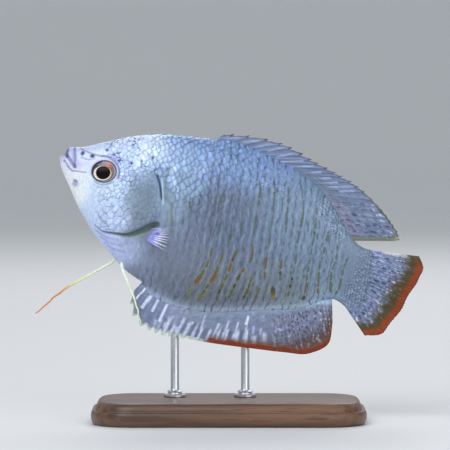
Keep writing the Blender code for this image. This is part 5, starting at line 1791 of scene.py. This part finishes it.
def make_feeler(word, route, material):
    """A pelvic fin, one long thread that thins to a slightly crinkled tip."""
    line = curve_of_points(route, FEELER_RINGS)
    t = np.linspace(0, 1, FEELER_RINGS)
    line[:, 2] += 0.14 * smooth_step(0.45, 0.9, t) * np.sin(t * 34)
    line[:, 0] += 0.08 * smooth_step(0.45, 0.9, t) * np.sin(t * 47 + 1)
    ahead = np.gradient(line, axis=0)
    ahead /= np.linalg.norm(ahead, axis=1)[:, None]
    side = np.cross(ahead, ACROSS)
    side /= np.linalg.norm(side, axis=1)[:, None]
    other = np.cross(ahead, side)
    radius = FEELER_ROOT_RADIUS + (FEELER_TIP_RADIUS - FEELER_ROOT_RADIUS) * t ** 1.1
    radius = radius * (1 + 0.06 * np.sin(t * 260)) * np.sqrt(np.clip((1.0 - t) / 0.02, 0.02, 1))
    a = np.linspace(0, 2 * math.pi, FEELER_TURNS, endpoint=False)
    rings = np.cos(a)[None, :, None] * side[:, None] + np.sin(a)[None, :, None] * other[:, None]
    points = line[:, None] + radius[:, None, None] * rings
    knots, shades = zip(*FEELER_HUES[word])
    shades = np.array([colour(*shade) for shade in shades])
    tone = np.column_stack([np.interp(t, knots, shades[:, k]) for k in range(3)])
    faces = grid_faces(FEELER_RINGS, FEELER_TURNS, wrap=True)
    piece = build(f"pelvic_feeler_{word}_thread", points.reshape(-1, 3), faces, material,
                  (f"pelvic_feeler_{word}",), paints={"tone": np.repeat(tone, FEELER_TURNS, axis=0)})
    close_ends(piece)


# Stand


def wood_material():
    """Dark stained walnut with straight grain along the board."""
    material, tree, shader = new_material("walnut")
    warp = noise(tree, where(tree), 60.0, 3.0, (0.25, 1.0, 1.0))
    rings = noise(tree, where(tree), 420.0, 5.0, (0.06, 1.0, 1.0))
    pores = noise(tree, where(tree), 2600.0, 2.0, (0.05, 1.0, 1.0))
    grain = math_node(tree, "ADD", times(tree, rings, 0.7), times(tree, warp, 0.3))
    paint = mix_colour(tree, map_range(tree, grain, 0.38, 0.62), colour(74, 50, 36), colour(118, 84, 60))
    paint = mix_colour(tree, map_range(tree, pores, 0.58, 0.72, 0.0, 0.6), paint, colour(44, 28, 20))
    rough = map_range(tree, rings, 0.3, 0.7, 0.36, 0.5)
    dress(tree, shader, paint, rough, pores, (0.2, 0.0002), (0.25, 0.2))
    return material


def steel_material():
    """Brushed steel, with fine turning marks round the rods."""
    material, tree, shader = new_material("brushed_steel")
    lines = noise(tree, where(tree), 5200.0, 2.0, (0.04, 0.04, 1.0))
    paint = mix_colour(tree, lines, colour(196, 198, 202), colour(208, 210, 214))
    dress(tree, shader, paint, map_range(tree, lines, 0.3, 0.7, 0.28, 0.36))
    shader.inputs["Metallic"].default_value = 1.0
    return material


# The base's edge from its foot to its top: how far inside the outline, and the height
BASE_PROFILE = (
    (1.0, 0.0),
    (0.3, 0.3),
    (0.0, 1.0),
    (0.0, 2.6),
    (0.12, 2.9),
    (0.75, 3.05),
    (0.85, 3.4),
    (1.0, 3.9),
    (1.7, 4.7),
    (3.2, BASE_HEIGHT),
)
CORNER_STEPS = 20
BASE_RINGS = 44
# A rod's foot from the base up, as radii and heights
ROD_FOOT = (
    (COLLAR_RADIUS - 0.15, 0.0),
    (COLLAR_RADIUS, 0.12),
    (COLLAR_RADIUS, 0.5),
    (COLLAR_RADIUS - 0.2, 0.68),
    (COLLAR_RADIUS - 0.9, 0.74),
    (COLLAR_RADIUS - 0.95, 0.95),
    (COLLAR_RADIUS - 0.72, 1.15),
    (COLLAR_RADIUS - 0.95, 1.38),
    (ROD_RADIUS + 0.1, 1.46),
    (ROD_RADIUS, 1.7),
)
ROD_TURNS = 48
ROD_INTO_FISH = 0.8


def rounded_outline(inset):
    half_x, half_y = BASE_LENGTH / 2 - BASE_CORNER, BASE_DEPTH / 2 - BASE_CORNER
    radius = BASE_CORNER - inset
    points = []
    for turn, sx, sy in ((0, 1, 1), (1, -1, 1), (2, -1, -1), (3, 1, -1)):
        for a in np.linspace(turn, turn + 1, CORNER_STEPS) * math.pi / 2:
            points.append((sx * half_x + radius * math.cos(a), sy * half_y + radius * math.sin(a)))
    return np.array(points)


def make_base(material):
    profile = curve_of_points(BASE_PROFILE, BASE_RINGS)
    around = 4 * CORNER_STEPS
    rings = [np.column_stack([rounded_outline(inset), np.full(around, height)]) for inset, height in profile]
    faces = grid_faces(len(profile), around, wrap=True)
    piece = build("stand_base_moulded", np.vstack(rings) * MM, faces, material, ("stand_base",),
                  in_fish_frame=False, crease=30)
    close_ends(piece)


def make_rod(word, material):
    """A turned rod with a moulded foot, whose top goes a little way into the fish."""
    low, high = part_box(f"stand_rod_{word}")
    middle_x, middle_y = (low[0] + high[0]) / 2, (low[1] + high[1]) / 2
    top = high[2] / MM - BASE_HEIGHT + ROD_INTO_FISH
    profile = [*ROD_FOOT, (ROD_RADIUS, top / 2), (ROD_RADIUS, top)]
    turn = np.linspace(0, 2 * math.pi, ROD_TURNS, endpoint=False)
    rings = [(r * np.cos(turn), r * np.sin(turn), np.full(ROD_TURNS, z + BASE_HEIGHT)) for r, z in profile]
    points = np.vstack([np.column_stack(ring) for ring in rings]) * MM + (middle_x, middle_y, 0.0)
    faces = grid_faces(len(profile), ROD_TURNS, wrap=True)
    piece = build(f"stand_rod_{word}_turned", points, faces, material, (f"stand_rod_{word}",),
                  in_fish_frame=False, crease=35)
    close_ends(piece)


# The floor, in metres
FLOOR_RADIUS = 1.6
FLOOR_CURVE = 1.2
FLOOR_TURNS = 64


def make_stage():
    """A pale round floor whose rim curves up far away, so that every view has it behind the model."""
    profile = [(FLOOR_RADIUS, 0.0)]
    for t in np.linspace(0.15, math.pi / 2, 10):
        profile.append((FLOOR_RADIUS + FLOOR_CURVE * math.sin(t), FLOOR_CURVE - FLOOR_CURVE * math.cos(t)))
    points = [(r * math.cos(a), r * math.sin(a), z) for r, z in profile
              for a in np.linspace(0, 2 * math.pi, FLOOR_TURNS, endpoint=False)]
    faces = [tuple(range(FLOOR_TURNS))]
    for face in grid_faces(len(profile), FLOOR_TURNS, wrap=True):
        faces.append(tuple(int(k) for k in face[::-1]))
    mesh = bpy.data.meshes.new("floor")
    mesh.from_pydata(points, [], faces)
    mesh.shade_smooth()
    material, tree, shader = new_material("floor_paint")
    grain = noise(tree, where(tree), 3.0, 2.0)
    paint = mix_colour(tree, grain, colour(226, 228, 230), colour(232, 233, 234))
    tree.links.new(paint, shader.inputs["Base Color"])
    shader.inputs["Roughness"].default_value = 0.6
    mesh.materials.append(material)
    floor = bpy.data.objects.new("floor", mesh)
    bpy.context.scene.collection.objects.link(floor)


# Lights: place, size, power and tint
LIGHTS = {
    "key": ((-0.30, -0.50, 0.55), 0.6, 2.8, (1.0, 1.0, 1.0)),
    "fill": ((0.45, -0.65, 0.2), 0.7, 2.0, (0.95, 0.97, 1.0)),
    "rim": ((0.1, 0.6, 0.6), 0.6, 1.8, (1.0, 1.0, 1.0)),
}
SKY = (0.86, 0.9, 0.95, 1.0)
SKY_STRENGTH = 0.55
CAMERA_CLIP = (0.05, 20.0)


def make_camera_and_lights():
    """The photo's side view and frame, with soft light from above and in front."""
    centre = FRAME_PIXELS / 2
    middle_x = (centre - SNOUT_PIXEL[0]) * PIXEL - SNOUT_FORWARD
    middle_z = SNOUT_HEIGHT - (centre - SNOUT_PIXEL[1]) * PIXEL
    target = Vector((middle_x, 0.0, middle_z)) * MM
    rise = math.radians(CAMERA_RISE)
    back = Vector((0.0, -math.cos(rise), math.sin(rise)))
    data = bpy.data.cameras.new("camera")
    data.sensor_width = SENSOR
    data.lens = SENSOR * CAMERA_DISTANCE / (FRAME_PIXELS * PIXEL)
    data.clip_start, data.clip_end = CAMERA_CLIP
    camera = bpy.data.objects.new("camera", data)
    camera.location = target + back * CAMERA_DISTANCE * MM
    camera.rotation_euler = (-back).to_track_quat("-Z", "Y").to_euler()
    bpy.context.scene.collection.objects.link(camera)
    bpy.context.scene.camera = camera
    for name, (position, size, power, tint) in LIGHTS.items():
        lamp = bpy.data.lights.new(name, "AREA")
        lamp.shape = "DISK"
        lamp.size = size
        lamp.energy = power
        lamp.color = tint
        light = bpy.data.objects.new(name, lamp)
        light.location = position
        light.rotation_euler = (target - Vector(position)).to_track_quat("-Z", "Y").to_euler()
        bpy.context.scene.collection.objects.link(light)
    world = bpy.data.worlds.new("studio")
    world.use_nodes = True
    world.node_tree.nodes["Background"].inputs["Color"].default_value = SKY
    world.node_tree.nodes["Background"].inputs["Strength"].default_value = SKY_STRENGTH
    bpy.context.scene.world = world
    bpy.context.scene.view_settings.view_transform = "Standard"


def make_model():
    lattice = Lattice()
    skin, fins = skin_material(), fin_material()
    make_skin(lattice, skin)
    for side, word in ((-1, "left"), (1, "right")):
        make_plates(word, lattice, side, skin)
        make_scales(word, lattice, side, skin)
        make_pectoral(side, word, fins)
    make_dorsal(fins)
    make_anal(fins)
    make_caudal(fins)
    iris, _, _ = painted_material("iris_paint", (2500.0, None), 0.12, (0.22, 0.34), (0.5, 0.06))
    make_eyes(iris, make_lens_material())
    thread, _, _ = painted_material("thread_paint", (1400.0, None), 0.08, (0.4, 0.5), (0.0, 0.1))
    make_feeler("right", RIGHT_FEELER, thread)
    make_feeler("left", LEFT_FEELER, thread)
    make_base(wood_material())
    steel = steel_material()
    make_rod("front", steel)
    make_rod("rear", steel)


make_stage()
make_camera_and_lights()
make_model()
